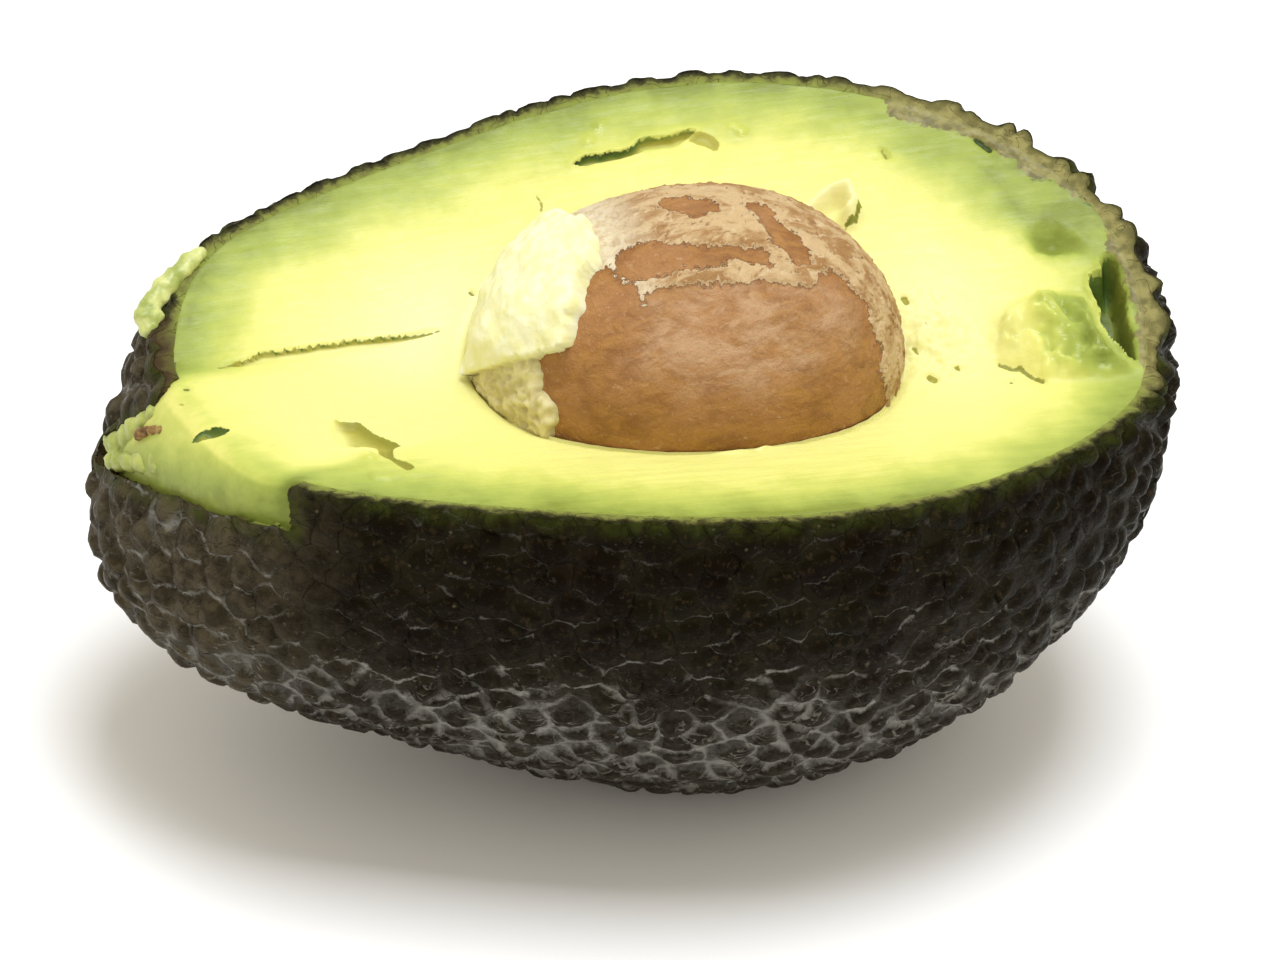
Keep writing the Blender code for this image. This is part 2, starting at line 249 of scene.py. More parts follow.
class Nodes:
    """A short way to write a material's node tree."""

    def __init__(self, name):
        self.material = bpy.data.materials.new(name)
        self.material.use_nodes = True
        self.tree = self.material.node_tree
        self.shader = self.tree.nodes["Principled BSDF"]
        self.place = self.add("TexCoord").outputs["Object"]

    def add(self, kind, inputs=None, **settings):
        node = self.tree.nodes.new("ShaderNode" + kind)
        for key, value in settings.items():
            setattr(node, key, value)
        for key, value in (inputs or {}).items():
            self.put(node.inputs[key], value)
        return node

    def put(self, socket, value):
        if isinstance(value, bpy.types.NodeSocket):
            self.tree.links.new(value, socket)
        elif isinstance(value, tuple) and socket.type == "RGBA":
            socket.default_value = (*value, 1.0)
        else:
            socket.default_value = value

    def set(self, **values):
        for key, value in values.items():
            self.put(self.shader.inputs[key.replace("_", " ")], value)

    def glow(self, weight, radius, scale):
        self.set(Subsurface_Weight=weight, Subsurface_Radius=radius, Subsurface_Scale=scale)

    def attributes(self, *names):
        return [self.add("Attribute", attribute_name=name).outputs["Fac"] for name in names]

    def noise(self, size, detail=3.0, rough=0.55, stretch=None, twist=0.0):
        place = self.place
        if stretch:
            place = self.add("Mapping", {"Scale": stretch, "Vector": place}).outputs["Vector"]
        shape = {"Scale": 1 / (size * MM), "Detail": detail, "Roughness": rough}
        node = self.add("TexNoise", {**shape, "Distortion": twist, "Vector": place})
        return node.outputs["Fac"]

    def cells(self, size):
        node = self.add("TexVoronoi", {"Scale": 1 / (size * MM), "Vector": self.place})
        return node.outputs["Distance"]

    def math(self, operation, a, b=0.0, clamp=False):
        return self.add("Math", {0: a, 1: b}, operation=operation, use_clamp=clamp).outputs[0]

    def fold(self, operation, values):
        return functools.reduce(lambda a, b: self.math(operation, a, b), values)

    def times(self, *values):
        return self.fold("MULTIPLY", values)

    def most(self, *values):
        return self.fold("MAXIMUM", values)

    def plus(self, *values):
        return self.fold("ADD", values)

    def span(self, value, low, high, to_low=0.0, to_high=1.0):
        ends = {"From Min": low, "From Max": high, "To Min": to_low, "To Max": to_high}
        node = self.add("MapRange", {"Value": value, **ends}, interpolation_type="SMOOTHSTEP")
        return node.outputs["Result"]

    def patches(self, size, detail, *span, **shape):
        return self.span(self.noise(size, detail, **shape), *span)

    def ragged(self, size, detail, reach, rough=0.55):
        return self.patches(size, detail, 0.25, 0.75, -reach, reach, rough=rough)

    def ramp(self, value, *stops):
        node = self.add("ValToRGB", {"Fac": value})
        ramp = node.color_ramp
        while len(ramp.elements) < len(stops):
            ramp.elements.new(0.5)
        for element, (place, colour) in zip(ramp.elements, stops):
            element.position = place
            element.color = (*colour, 1.0)
        return node.outputs["Color"]

    def mix(self, share, a, b):
        return self.add("Mix", {0: share, 6: a, 7: b}, data_type="RGBA", blend_type="MIX").outputs[2]

    def over(self, under, top, *shares):
        """Lays one colour over another, by the product of the shares."""
        return self.mix(self.times(*shares), under, top)

    def bump(self, *layers):
        """Bumps laid over each other, each a height socket and its depth in millimetres."""
        normal = {}
        for height, depth in layers:
            node = self.add("Bump", {"Distance": depth * MM, "Height": height, **normal})
            normal = {"Normal": node.outputs["Normal"]}
        self.set(**normal)


def peel_material():
    n = Nodes("peel_warty")
    wart, rim, cut, bloom_and_sheen, brown, level, tan_share = n.attributes(
        "wart", "rim_gap", "cut", "bloom_and_sheen", "brown", "level", "tan"
    )
    patch = n.noise(7, 3)
    fine = n.noise(0.7, 5, 0.6)
    which = n.span(patch, 0.35, 0.65)
    # wart tops darkest, valleys a little lighter: the valleys' lightness is partly painted sheen
    tops = n.mix(which, (0.005, 0.0024, 0.0006), (0.0062, 0.005, 0.0012))
    valleys = n.mix(which, (0.009, 0.006, 0.0025), (0.012, 0.01, 0.004))
    colour = n.mix(n.span(wart, 0.1, 0.6), valleys, tops)
    # a dull grey bloom on the ends and the underside, lighter underneath partly as painted reflection
    # of the lit floor
    colour = n.over(colour, (0.04, 0.034, 0.024), bloom_and_sheen, n.span(fine, 0.3, 0.7, 0.15, 0.75))
    browner = n.patches(2, 4, 0.35, 0.65, 0.25, 0.95, rough=0.6)
    colour = n.over(colour, (0.082, 0.066, 0.039), brown, browner)
    grains = (n.span(fine, 0.54, 0.66, 0, 0.75), n.span(patch, 0.3, 0.7, 0.4, 1))
    colour = n.over(colour, (0.034, 0.023, 0.01), *grains)
    # pale grey in the valleys where the bloom is: painted sheen
    grey = (n.span(wart, 0.62, 0.3), n.span(bloom_and_sheen, 0.5, 1), n.span(fine, 0.35, 0.65, 0.35, 0.8))
    colour = n.over(colour, (0.08, 0.077, 0.068), *grey)
    # thin pale lines in the creases between warts, broader underneath: painted highlights where the
    # crease edges catch the light, strongest on level creases
    wander = n.ragged(1, 4, 0.24, 0.6)
    width = n.most(n.span(bloom_and_sheen, 0, 1, 0.22, 1.05), n.span(brown, 0, 1, 0.24, 0.5))
    width = n.times(width, n.patches(1.9, 2, 0.35, 0.65, 0.45, 1.15))
    lines = []
    for field in n.attributes("net_a", "net_b", "net_c"):
        away = n.math("DIVIDE", n.math("ABSOLUTE", n.plus(field, wander)), width)
        lines.append(n.math("SUBTRACT", 1, away, clamp=True))
    line = n.most(*lines)
    highlight_strength = n.most(n.span(level, 0.55, 0.92), n.span(bloom_and_sheen, 0.45, 0.95, 0, 0.85))
    always = n.most(n.span(bloom_and_sheen, 0.45, 1, 0.06, 0.8), n.span(brown, 0.3, 1, 0.06, 0.6))
    here = n.most(n.patches(3.6, 3, 0.4, 0.6), always)
    lower = n.most(n.span(rim, 3, 16, 0.35, 1), n.span(brown, 0.2, 0.7))
    highlight_strength = n.times(highlight_strength, n.span(bloom_and_sheen, 0, 0.6, 0.5, 1), here, lower)
    # finer wavy wrinkles that run level, painted as pale lines that catch the light
    waves = n.noise(3, 2, 0.5, stretch=(1, 1, 1.9), twist=0.7)
    away = n.math("ABSOLUTE", n.math("SUBTRACT", waves, 0.5))
    away = n.math("DIVIDE", away, n.span(bloom_and_sheen, 0, 1, 0.01, 0.03))
    wave = n.math("SUBTRACT", 1, away, clamp=True)
    faint = n.times(n.span(bloom_and_sheen, 0, 1, 0.12, 0.75), n.patches(4, 3, 0.4, 0.6))
    colour = n.over(colour, (0.23, 0.215, 0.18), wave, faint)
    # painted highlight along the crease lines
    colour = n.over(colour, (0.262, 0.255, 0.228), line, highlight_strength)
    green = n.times(n.span(rim, 2.4, 0.1), n.patches(2.2, 3, 0.3, 0.7, 0.15, 1))
    colour = n.over(colour, (0.045, 0.055, 0.008), green, 0.75)
    colour = n.over(colour, (0.12, 0.1, 0.055), n.span(n.cells(2.4), 0.1, 0.04), 0.5)
    # the cut edge, green inside, tan at the blossom end and brown at the stem
    band = n.ramp(
        n.plus(cut, n.patches(1.1, 4, 0.3, 0.7, -0.22, 0.22)),
        (0, (0.014, 0.012, 0.006)),
        (0.4, (0.06, 0.06, 0.018)),
        (0.62, (0.155, 0.16, 0.042)),
        (1, (0.22, 0.255, 0.05)),
    )
    tan = n.mix(n.patches(1.3, 4, 0.35, 0.65), (0.15, 0.132, 0.044), (0.28, 0.25, 0.09))
    tan = n.mix(n.span(cut, 0.55, 0.12, 0, 0.72), tan, (0.075, 0.07, 0.022))
    band = n.over(band, tan, tan_share, n.span(cut, 0.04, 0.12))
    band = n.mix(n.span(brown, 0.8, 1, 0, 0.75), band, (0.06, 0.036, 0.018))
    colour = n.mix(n.span(cut, 0.02, 0.1), colour, band)
    n.set(Base_Color=colour, Roughness=n.patches(1.6, 3, 0.3, 0.7, 0.26, 0.46))
    n.set(Specular_IOR_Level=0.5, IOR=1.1)
    n.bump((line, 0.12), (wave, 0.1), (n.noise(0.9, 4, 0.6), 0.18), (n.noise(0.28, 2), 0.06))
    return n.material


def flesh_material():
    n = Nodes("flesh_moist")
    gap, mark, cream, wet, tan_gap, cut_gap, tone = n.attributes(
        "rim_gap", "mark", "cream", "wet", "tan_gap", "cut_gap", "shade_and_spot_tone"
    )
    streaks = n.patches(1.2, 3, 0.25, 0.75, -0.45, 0.45, rough=0.6, stretch=(0.12, 1, 1))
    gap = n.plus(gap, n.ragged(5, 3, 1.2), streaks)
    colour = n.ramp(
        n.math("DIVIDE", gap, GREEN_DEPTH, clamp=True),
        (0, (0.22, 0.265, 0.042)),
        (0.07, (0.29, 0.35, 0.064)),
        (0.2, (0.385, 0.45, 0.088)),
        (0.36, (0.54, 0.575, 0.125)),
        (0.5, (0.7, 0.69, 0.19)),
        (0.75, (0.76, 0.728, 0.228)),
        (1, (0.78, 0.745, 0.25)),
    )
    colour = n.mix(cream, colour, (0.83, 0.8, 0.4))
    colour = n.mix(n.span(mark, 0, 1), colour, (0.235, 0.27, 0.036))
    # tan rind inside the peel at the blossom end
    tan_gap = n.plus(tan_gap, n.ragged(1.1, 4, 0.35, 0.6))
    tan = n.mix(n.patches(1.3, 4, 0.35, 0.65), (0.16, 0.142, 0.046), (0.295, 0.265, 0.092))
    colour = n.mix(n.span(tan_gap, 0.12, -0.12), colour, tan)
    # knife marks, tears and hollows, with painted shade in them, crisp on the side they were cut from
    # and fading on the other
    inside = n.span(n.plus(cut_gap, n.ragged(0.5, 3, 0.07)), 0.05, -0.05)
    shade = n.ramp(
        tone,
        (0, (0.56, 0.53, 0.11)),
        (0.34, (0.355, 0.325, 0.046)),
        (0.62, (0.105, 0.165, 0.026)),
        (0.95, (0.018, 0.032, 0.006)),
    )
    dull = n.patches(2, 3, 0.3, 0.7, 0.3, 0.48)
    n.set(Base_Color=n.over(colour, shade, inside, n.span(tone, 0.02, 0.34)))
    n.set(Roughness=n.math("SUBTRACT", dull, n.times(wet, 0.26)))
    n.set(Specular_IOR_Level=0.4, IOR=1.33)
    n.glow(0.35, (1, 0.85, 0.3), 0.0022)
    n.bump((n.noise(0.55, 4, 0.65, stretch=(0.06, 1, 1)), 0.06), (n.noise(0.7, 4, 0.6), 0.06))
    return n.material


def pulp_material():
    n = Nodes("flesh_torn")
    lump = n.noise(1.6, 4)
    which = n.span(lump, 0.35, 0.65)
    pale = n.mix(which, (0.85, 0.83, 0.54), (0.82, 0.79, 0.4))
    dull = n.mix(which, (0.7, 0.62, 0.31), (0.5, 0.42, 0.175))
    n.set(Base_Color=n.mix(*n.attributes("tint"), pale, dull))
    n.set(Roughness=n.span(lump, 0.3, 0.7, 0.38, 0.6), Specular_IOR_Level=0.4)
    n.glow(0.3, (1, 0.85, 0.35), 0.0018)
    n.bump((n.noise(1, 4, 0.55), 0.1), (n.noise(0.3, 3), 0.03))
    return n.material


def crumb_material(name, deep, pale):
    n = Nodes(name)
    n.set(Base_Color=n.mix(n.patches(1.8, 4, 0.3, 0.7), deep, pale))
    n.set(Roughness=0.38, Specular_IOR_Level=0.45)
    n.glow(0.35, (1, 0.9, 0.35), 0.0015)
    n.bump((n.noise(0.7, 4), 0.12))
    return n.material


def pit_material():
    n = Nodes("pit_coat")
    gap, pale, torn, creamy = n.attributes("coat_gap", "pale", "flakes", "creamy")
    gap = n.plus(gap, n.ragged(0.8, 4, 0.45, 0.65))
    coat = n.span(gap, 0.06, -0.06)
    grain = n.noise(1, 5, 0.62, twist=0.4)
    broad = n.noise(6, 3)
    # bare seed, streaked, with pale dust and painted sheen on its lit middle, and a dark line along
    # the edge of the coat
    streaks = n.patches(1.4, 4, 0.3, 0.7, rough=0.6, stretch=(0.35, 1, 1), twist=0.6)
    bare = n.mix(streaks, (0.25, 0.096, 0.016), (0.4, 0.185, 0.036))
    bare = n.mix(n.span(broad, 0.35, 0.68, 0, 0.6), bare, (0.42, 0.195, 0.064))
    dust_and_sheen = {"rough": 0.68, "stretch": (0.5, 1, 1), "twist": 0.5}
    dust_and_sheen = n.patches(2.2, 6, 0.38, 0.62, 0.15, 0.85, **dust_and_sheen)
    bare = n.over(bare, (0.54, 0.33, 0.17), pale, dust_and_sheen)
    flecks = (n.patches(0.55, 4, 0.6, 0.68, rough=0.6), n.span(broad, 0.4, 0.6, 0.2, 0.7))
    bare = n.over(bare, (0.5, 0.31, 0.15), *flecks)
    edge = n.times(n.span(gap, 0.3, 0.05), n.span(gap, -0.05, 0.05))
    bare = n.over(bare, (0.17, 0.055, 0.012), edge, 0.6)
    # papery coat in torn sheets
    sheets = n.patches(3, 6, 0.4, 0.56, rough=0.66, stretch=(0.45, 1, 1), twist=0.6)
    papery = n.mix(sheets, (0.36, 0.186, 0.058), (0.59, 0.412, 0.205))
    torn = n.plus(torn, n.patches(0.6, 3, 0.3, 0.7, -0.1, 0.1))
    # each flake painted darker on its rising edge and lighter just before it: painted shade and
    # highlight
    papery = n.mix(n.span(torn, 0.12, 0.02, 0, 0.8), papery, (0.28, 0.14, 0.048))
    papery = n.mix(n.span(torn, 0.78, 1, 0, 0.75), papery, (0.67, 0.51, 0.3))
    papery = n.over(papery, (0.625, 0.455, 0.245), n.span(gap, -0.4, -0.08), 0.7)
    papery = n.over(papery, (0.74, 0.64, 0.44), creamy, n.span(grain, 0.35, 0.6, 0.5, 1))
    n.set(Base_Color=n.mix(coat, bare, papery), Specular_IOR_Level=0.42)
    n.set(Roughness=n.plus(n.span(grain, 0.3, 0.7, 0.36, 0.52), n.times(coat, 0.16)))
    n.glow(0.08, (1, 0.5, 0.25), 0.001)
    n.bump((n.noise(0.9, 5, 0.65, twist=0.5), 0.3), (n.noise(0.35, 4, 0.7), 0.14), (coat, 0.14))
    return n.material


def stem_material():
    n = Nodes("stem_dry")
    colour = n.ramp(
        n.noise(0.8, 4, 0.6, twist=0.8),
        (0.32, (0.06, 0.026, 0.01)),
        (0.5, (0.26, 0.14, 0.04)),
        (0.68, (0.43, 0.34, 0.11)),
    )
    n.set(Base_Color=colour, Roughness=0.6, Specular_IOR_Level=0.3)
    n.bump((n.noise(0.5, 4), 0.15))
    return n.material


# ---- the peel ----

PEEL_COLUMNS = 672
PEEL_ROWS = 158
PEEL_SPARE = 0.25
# rings of points are thinned out where points come closer than this, at the fruit's mean reach
CLOSEST = 0.25
MEAN_REACH = 43
FEWEST_COLUMNS = 21
# Height of the torn edge for places across the stem end, and where it ends on the far side
TEAR_PLACES = (-21.0, -19.3, -17.6, -15.1, -11.8, -7.0, -0.5, 4.0, 8.0)
TEAR_HEIGHTS = (4.6, 3.8, 3.5, 2.3, 1.4, -0.4, -2.9, -4.8, -6.0)
TEAR_FAR_HEIGHTS = (-4.7, -0.1, 1.2, 2.8, 5.1, 7.0)
TEAR_FAR_PLACES = (8.3, 4.4, 3.0, 1.2, 1.4, 2.0)
TORN_DEPTH = 0.75
TORN_MARGIN = 0.6
FAR_FROM_CREASES = 9.0
SHARP_ANGLE = 62
# area of a wart's share of an even pattern, for a spacing of one
HEXAGON = 0.866


def wart_directions():
    """The CAD source's places of the warts."""
    along = np.linspace(-1, 1, 401)
    ring = np.sqrt(1 - along**2) * girth(along) * (1 + UNDERSIDE) / 2
    run = np.hypot(np.diff(along) * LENGTH / 2, np.diff(ring))
    area = np.concatenate([[0], np.cumsum(math.pi * run * (ring[1:] + ring[:-1]))])
    count = round(area[-1] / (HEXAGON * WART_SPACING**2))
    place = np.interp((np.arange(count) + 0.5) / count * area[-1], area, along)
    turn = math.pi * (1 + math.sqrt(5)) * np.arange(count)
    width = np.sqrt(1 - place**2)
    directions = table(place, width * np.cos(turn), width * np.sin(turn))
    shift = np.random.default_rng(WART_SEED).uniform(-1, 1, directions.shape)
    reach = WART_SHIFT * WART_SPACING / np.linalg.norm(skin(directions), axis=1)
    return unit(directions + shift * np.clip(reach, 0, 0.1)[:, None])


WARTS = skin(wart_directions())
WART_TOPS = WART_HEIGHT * np.random.default_rng(WART_SEED + 1).uniform(0.6, 1.25, len(WARTS))
WART_WIDTHS = np.random.default_rng(WART_SEED + 2).uniform(0.72, 1.1, len(WARTS))


def wart_classes():
    """A number from 0 to 7 for each wart, so that neighbours have different numbers."""
    gaps, found = nearest(WARTS, WARTS, 8)
    beside = [set() for _ in WARTS]
    for index, others in enumerate(found):
        for other in others[1:]:
            if gaps[index].max() < 3 * WART_SPACING:
                beside[index].add(int(other))
                beside[int(other)].add(index)
    classes = np.zeros(len(WARTS), int)
    for index, others in enumerate(beside):
        taken = {classes[other] for other in others if other < index}
        classes[index] = next((number for number in range(8) if number not in taken), 7)
    return classes


def bend(base):
    """Places shifted a little, so that the creases between warts wander."""
    bent = base + 0.75 * table(*(noise(base, 2.6, seed) for seed in (1, 2, 3)))
    return bent + 0.24 * table(*(noise(base, 1.0, seed) for seed in (4, 5, 6)))


def crease_fields(directions):
    """Three fields that pass through zero at the creases between warts, and how level each is."""
    bent = bend(skin(directions))
    classes = wart_classes()
    fields = []
    for bit in (1, 2, 4):
        groups = (WARTS[(classes & bit) == 0], WARTS[(classes & bit) > 0])
        lower, upper = (nearest(bent, group)[0][:, 0] for group in groups)
        fields.append(lower - upper)
    _, found = nearest(bent, WARTS, 2)
    apart = WARTS[found[:, 0]] - WARTS[found[:, 1]]
    return fields, 0.25 + 0.75 * (np.abs(apart[:, 2]) / np.linalg.norm(apart, axis=1))


def wart_relief(directions):
    """Height over the smooth skin, and the share of the way up the wart, for each direction."""
    base = skin(directions)
    gaps, found = nearest(bend(base), WARTS, 2)
    owner = found[:, 0]
    width = 0.5 * WART_SPACING * WART_WIDTHS[owner]
    dome = np.sqrt(np.clip(1 - (gaps[:, 0] / width) ** 2, 0, 1))
    wall = step(0, 0.9, gaps[:, 1] - gaps[:, 0])
    top = WART_TOPS[owner] * 1.25
    rough = 0.62 + 0.38 * step(-2, -16, base[:, 2]) + 0.3 * step(38, 48, np.abs(base[:, 0]))
    height = -0.28 + (top + 0.22) * dome * (0.35 + 0.65 * wall) * np.minimum(rough, 1.0)
    spiky = step(30, 44, base[:, 0]) * step(0, 4, base[:, 2])
    height += spiky * (0.85 * dome * np.clip(1 - gaps[:, 0] / width, 0, 1) - 0.15) * wall
    height += 0.13 * layered(base, 1.5, 21) + 0.14 * noise(base, 9.0, 25)
    return height + PEEL_SPARE, dome


def direction(turn, polar):
    """Unit direction from a turn about the upright axis and an angle from straight down."""
    return table(np.sin(polar) * np.cos(turn), np.sin(polar) * np.sin(turn), -np.cos(polar))


def cut_polar(turn, surface):
    """Angle from straight down at which a surface meets the cut face, for each turn."""

    def under(polar):
        x, y, z = surface(direction(turn, polar)).T
        return z < face_height(x, y)

    return settle(np.full(len(turn), 0.9), np.full(len(turn), 2.6), 22, under)


def even_turns(count):
    """Turns whose places on the rim are evenly spaced."""
    dense = np.linspace(-math.pi, math.pi, 1441)
    loop = skin(direction(dense, cut_polar(dense, skin)))
    run = np.concatenate([[0], np.cumsum(np.linalg.norm(np.diff(loop, axis=0), axis=1))])
    return np.interp(np.arange(count) / count * run[-1], run, dense)


def z_over_tear(points):
    """Height over the torn edge of the peel beside the stem."""
    return points[:, 2] - np.interp(points[:, 1], TEAR_PLACES, TEAR_HEIGHTS)


def tear_gap(points):
    """How far a place lies inside the torn-off part of the peel, negative outside it."""
    x, y, z = points.T
    ragged = 0.3 * noise(points, 3.0, 41) + 0.16 * noise(points, 1.1, 42)
    beside = 1.2 * (TEAR_END_X - x + 0.35 * noise(points, 1.5, 43))
    far_end = np.interp(z, TEAR_FAR_HEIGHTS, TEAR_FAR_PLACES) + ragged - y
    return np.minimum(np.minimum(z_over_tear(points) - ragged, beside), far_end)


def boundary_loop(*groups):
    """Longest loop of open edges, in order, running against the faces' own direction."""
    heads = np.concatenate([faces.T.ravel() for faces in groups])
    tails = np.concatenate([np.roll(faces, -1, axis=1).T.ravel() for faces in groups])
    size = heads.max() + 1
    open_edges = ~np.isin(heads * size + tails, tails * size + heads)
    follow = dict(zip(tails[open_edges].tolist(), heads[open_edges].tolist()))
    best = []
    while follow:
        here = next(iter(follow))
        loop = []
        while here in follow:
            loop.append(here)
            here = follow.pop(here)
        best = max(best, loop, key=len)
    return np.array(best)


def peel_rings(turns, rim):
    """Directions in rings from the rim down to the bottom, and the faces between them."""
    rings, halved, columns = [], [], PEEL_COLUMNS
    for row in range(PEEL_ROWS):
        stride = PEEL_COLUMNS // columns
        polar = rim[::stride] * (1 - row / PEEL_ROWS)
        rings.append(direction(turns[::stride], polar))
        apart = np.sin(polar).mean() * 2 * math.pi * MEAN_REACH / columns
        halved.append(apart < CLOSEST and columns % 2 == 0 and columns > FEWEST_COLUMNS)
        if halved[-1]:
            columns //= 2
    quads, triangles, first = [], [], 0
    for ring, thinned in zip(rings[:-1], halved):
        count = len(ring)
        k = np.arange(count)
        after = (k + 1) % count
        below = first + count
        if thinned:
            half = k[: count // 2]
            a, b, c = first + 2 * half, first + 2 * half + 1, first + (2 * half + 2) % count
            low, lower = below + half, below + (half + 1) % len(half)
            triangles += [table(a, low, b), table(b, low, lower), table(b, lower, c)]
        else:
            quads.append(table(first + k, below + k, below + after, first + after))
        first = below
    last = first + np.arange(len(rings[-1]))
    triangles.append(fan(last, first + len(last))[:, [0, 2, 1]])
    directions = np.concatenate([*rings, [[0.0, 0.0, -1.0]]])
    return directions, np.concatenate(quads), np.concatenate(triangles)


def build_peel(material):
    turns = even_turns(PEEL_COLUMNS)
    rim = cut_polar(turns, lambda d: raised(d, wart_relief(d)[0]))
    inner_rim = cut_polar(turns, lambda d: raised(d, -PEEL_DEPTH))
    directions, quads, triangles = peel_rings(turns, rim)
    height, share = wart_relief(directions)
    points = raised(directions, height)
    points[:, 2] = np.maximum(points[:, 2], TABLE)
    gone = tear_gap(points)
    quads, triangles = (faces[gone[faces].mean(axis=1) < 0] for faces in (quads, triangles))
    edge = boundary_loop(quads, triangles)
    torn = gone[edge] > -TORN_MARGIN
    for _ in range(3):
        smooth = (np.roll(points[edge], 1, axis=0) + np.roll(points[edge], -1, axis=0)) / 2
        points[edge] = np.where(torn[:, None], smooth, points[edge])
    # the cut band, then the inner wall down to the bottom
    turn_edge = np.arctan2(directions[edge, 1], directions[edge, 0])
    polar_edge = np.arccos(np.clip(-directions[edge, 2], -1, 1))
    order = np.argsort(turns)
    at_face = np.interp(turn_edge, turns[order], inner_rim[order])
    polar_in = np.where(torn, polar_edge - 0.004, at_face)
    whole = np.where(~torn)[0]
    turn_deep = np.unwrap(turn_edge)
    across_tear = np.interp(np.arange(len(edge)), whole, turn_deep[whole])
    turn_deep = np.where(torn, across_tear, turn_deep)
    inner = raised(direction(turn_edge, polar_in), -np.where(torn, TORN_DEPTH, PEEL_DEPTH))
    middle = 0.5 * (points[edge] + inner)
    middle[:, 2] += np.where(torn, 0.0, 0.08) * noise(middle, 1.2, 51)
    layers = [middle, inner]
    for share_down in (0.93, 0.8, 0.6, 0.35, 0.12):
        layers.append(raised(direction(turn_deep, polar_in * share_down), -PEEL_DEPTH))
    bottom = raised(np.array([[0.0, 0.0, -1.0]]), -PEEL_DEPTH)
    everything = np.concatenate([points, *layers, bottom])
    loops = [edge, *np.arange(len(points), len(everything) - 1).reshape(len(layers), -1)]
    for upper, lower in zip(loops[:-1], loops[1:]):
        wall = table(upper, np.roll(upper, -1), np.roll(lower, -1), lower)
        quads = np.concatenate([quads, wall])
    triangles = np.concatenate([triangles, fan(loops[-1], len(everything) - 1)])
    # what the material reads
    x, y, z = everything.T
    spare = np.zeros(len(everything) - len(points))
    cut = np.append(np.zeros(len(points)), spare + 1)
    cut[loops[1]] = 0.55
    creases, level = crease_fields(directions)
    # bloom strongest underneath and at the ends: partly real grey bloom, partly painted reflection of
    # the lit floor
    bloom_and_sheen = step(2, -22, z + 5 * noise(everything, 12.0, 55))
    brown = step(-34, -50, x + 4 * noise(everything, 9.0, 56))
    bloom_and_sheen = np.maximum(np.maximum(bloom_and_sheen, 0.45 * brown), 0.4 * step(36, 52, x))
    values = {
        "wart": np.append(share, spare),
        "rim_gap": nearest(everything, points[edge])[0][:, 0],
        "cut": cut,
        "tan": step(20, 34, x) * step(-19, -12, y),
        "level": np.append(level, spare),
        "bloom_and_sheen": bloom_and_sheen,
        "brown": brown,
    }
    for letter, field in zip("abc", creases):
        values["net_" + letter] = np.append(field, spare + FAR_FROM_CREASES)
    keep = np.unique(np.append(quads, triangles))
    index = np.zeros(len(everything), int)
    index[keep] = np.arange(len(keep))
    faces = [index[quads], index[triangles]]
    values = {key: value[keep] for key, value in values.items()}
    new_piece("avocado_peel", everything[keep], faces, material, ("peel",), values, SHARP_ANGLE)


# ---- the flesh ----

FLESH_UNDER_PEEL = 0.2
FLESH_COLUMNS = 720
FACE_ROWS = 110
SIDE_DROPS = (
    0.012, 0.03, 0.05, 0.07, 0.09, 0.115, 0.14, 0.17, 0.2, 0.24, 0.3, 0.38, 0.5, 0.8, 1.2, 1.5
)
HOLLOW_RADIUS = 16.0
# how far under the face and how far inwards the wall of the pit's hollow runs
HOLLOW_WALL = ((0.25, 0.02), (0.8, 0.05), (2.0, 0.1), (5.0, 0.5), (9.0, 2.5), (13.0, 7.5))
SHOULDER_REACH = 3.5
SHOULDER_BULGE = 1.7
SHOULDER_PASSES = 44
# sideways shift of the nick for each millimetre under the face, along the cut
NICK_SLANT = (-0.48, -1.62)

# Knife marks and tears in the face: the crisp side of each first, then the side that fades out
SLIT_CRISP = pairs(
    -44.2, 4, -43.1, 4.15, -41.9, 4.2, -40.5, 4.5, -39.5, 4.9, -38.2, 4.7, -36.8, 4.75, -35, 4.65,
    -33.6, 4.75, -32.2, 4.55, -30.4, 4.6, -28.6, 4.4, -26.8, 4.25, -24.6, 4.05, -23, 3.95, -21.6, 3.85,
)
SLIT_FADED = pairs(
    -21.6, 3.7, -24.6, 3.6, -28.6, 3.5, -32.2, 3.4, -35, 3.4, -38.2, 3.5, -40.5, 3.6, -42.5, 3.75,
    -44.2, 3.9,
)
GASH_CRISP = pairs(
    -4.2, 20.3, -3.3, 20.8, -2.5, 21, -1.6, 20.95, -1.2, 20.7, -0.7, 20.9, -0.1, 21, 0.7, 20.8,
    1.3, 20.9, 2.1, 21, 2.5, 21.3, 2.9, 21.7, 3.7, 21.85, 4.6, 21.75, 5.4, 21.7, 6.3, 21.6, 6.8, 21.8,
    7.6, 21.9, 8.6, 21.9, 9, 21.7,
)
GASH_FADED = pairs(
    7.4, 20.7, 6.9, 20.3, 6, 20.2, 5.2, 20.4, 3.5, 20.5, 2.7, 20.3, 2, 20.2, 0.6, 20, -0.9, 20,
    -1.7, 20, -2.7, 19.9, -3.4, 20, -4.2, 20.2,
)
GASH_END = pairs(
    8.4, 21.5, 9.7, 21.5, 10.6, 21, 11.1, 20, 10.7, 19.1, 10.3, 19.1, 9.6, 19.8, 8.7, 20.3, 8, 20.8
)
NICK_CRISP = pairs(
    -50.2, -10.7, -49.5, -9.4, -48.7, -8.4, -47.9, -7.8, -46.9, -7.6, -46.1, -7.9, -45.6, -8.4
)
NICK_FADED = pairs(-46.1, -9, -47.1, -9.7, -48.8, -10.1, -49.5, -10.5)
GOUGE_CRISP = pairs(
    -35, -7.9, -34.5, -8.6, -33.4, -9, -32.7, -9.1, -32.3, -10, -31.6, -11.8, -30.7, -12.9,
    -29.6, -14.4, -30.6, -15, -30.9, -16.8, -30.2, -17.8, -29.8, -17.9, -29.4, -19.3, -30.2, -20.2,
)
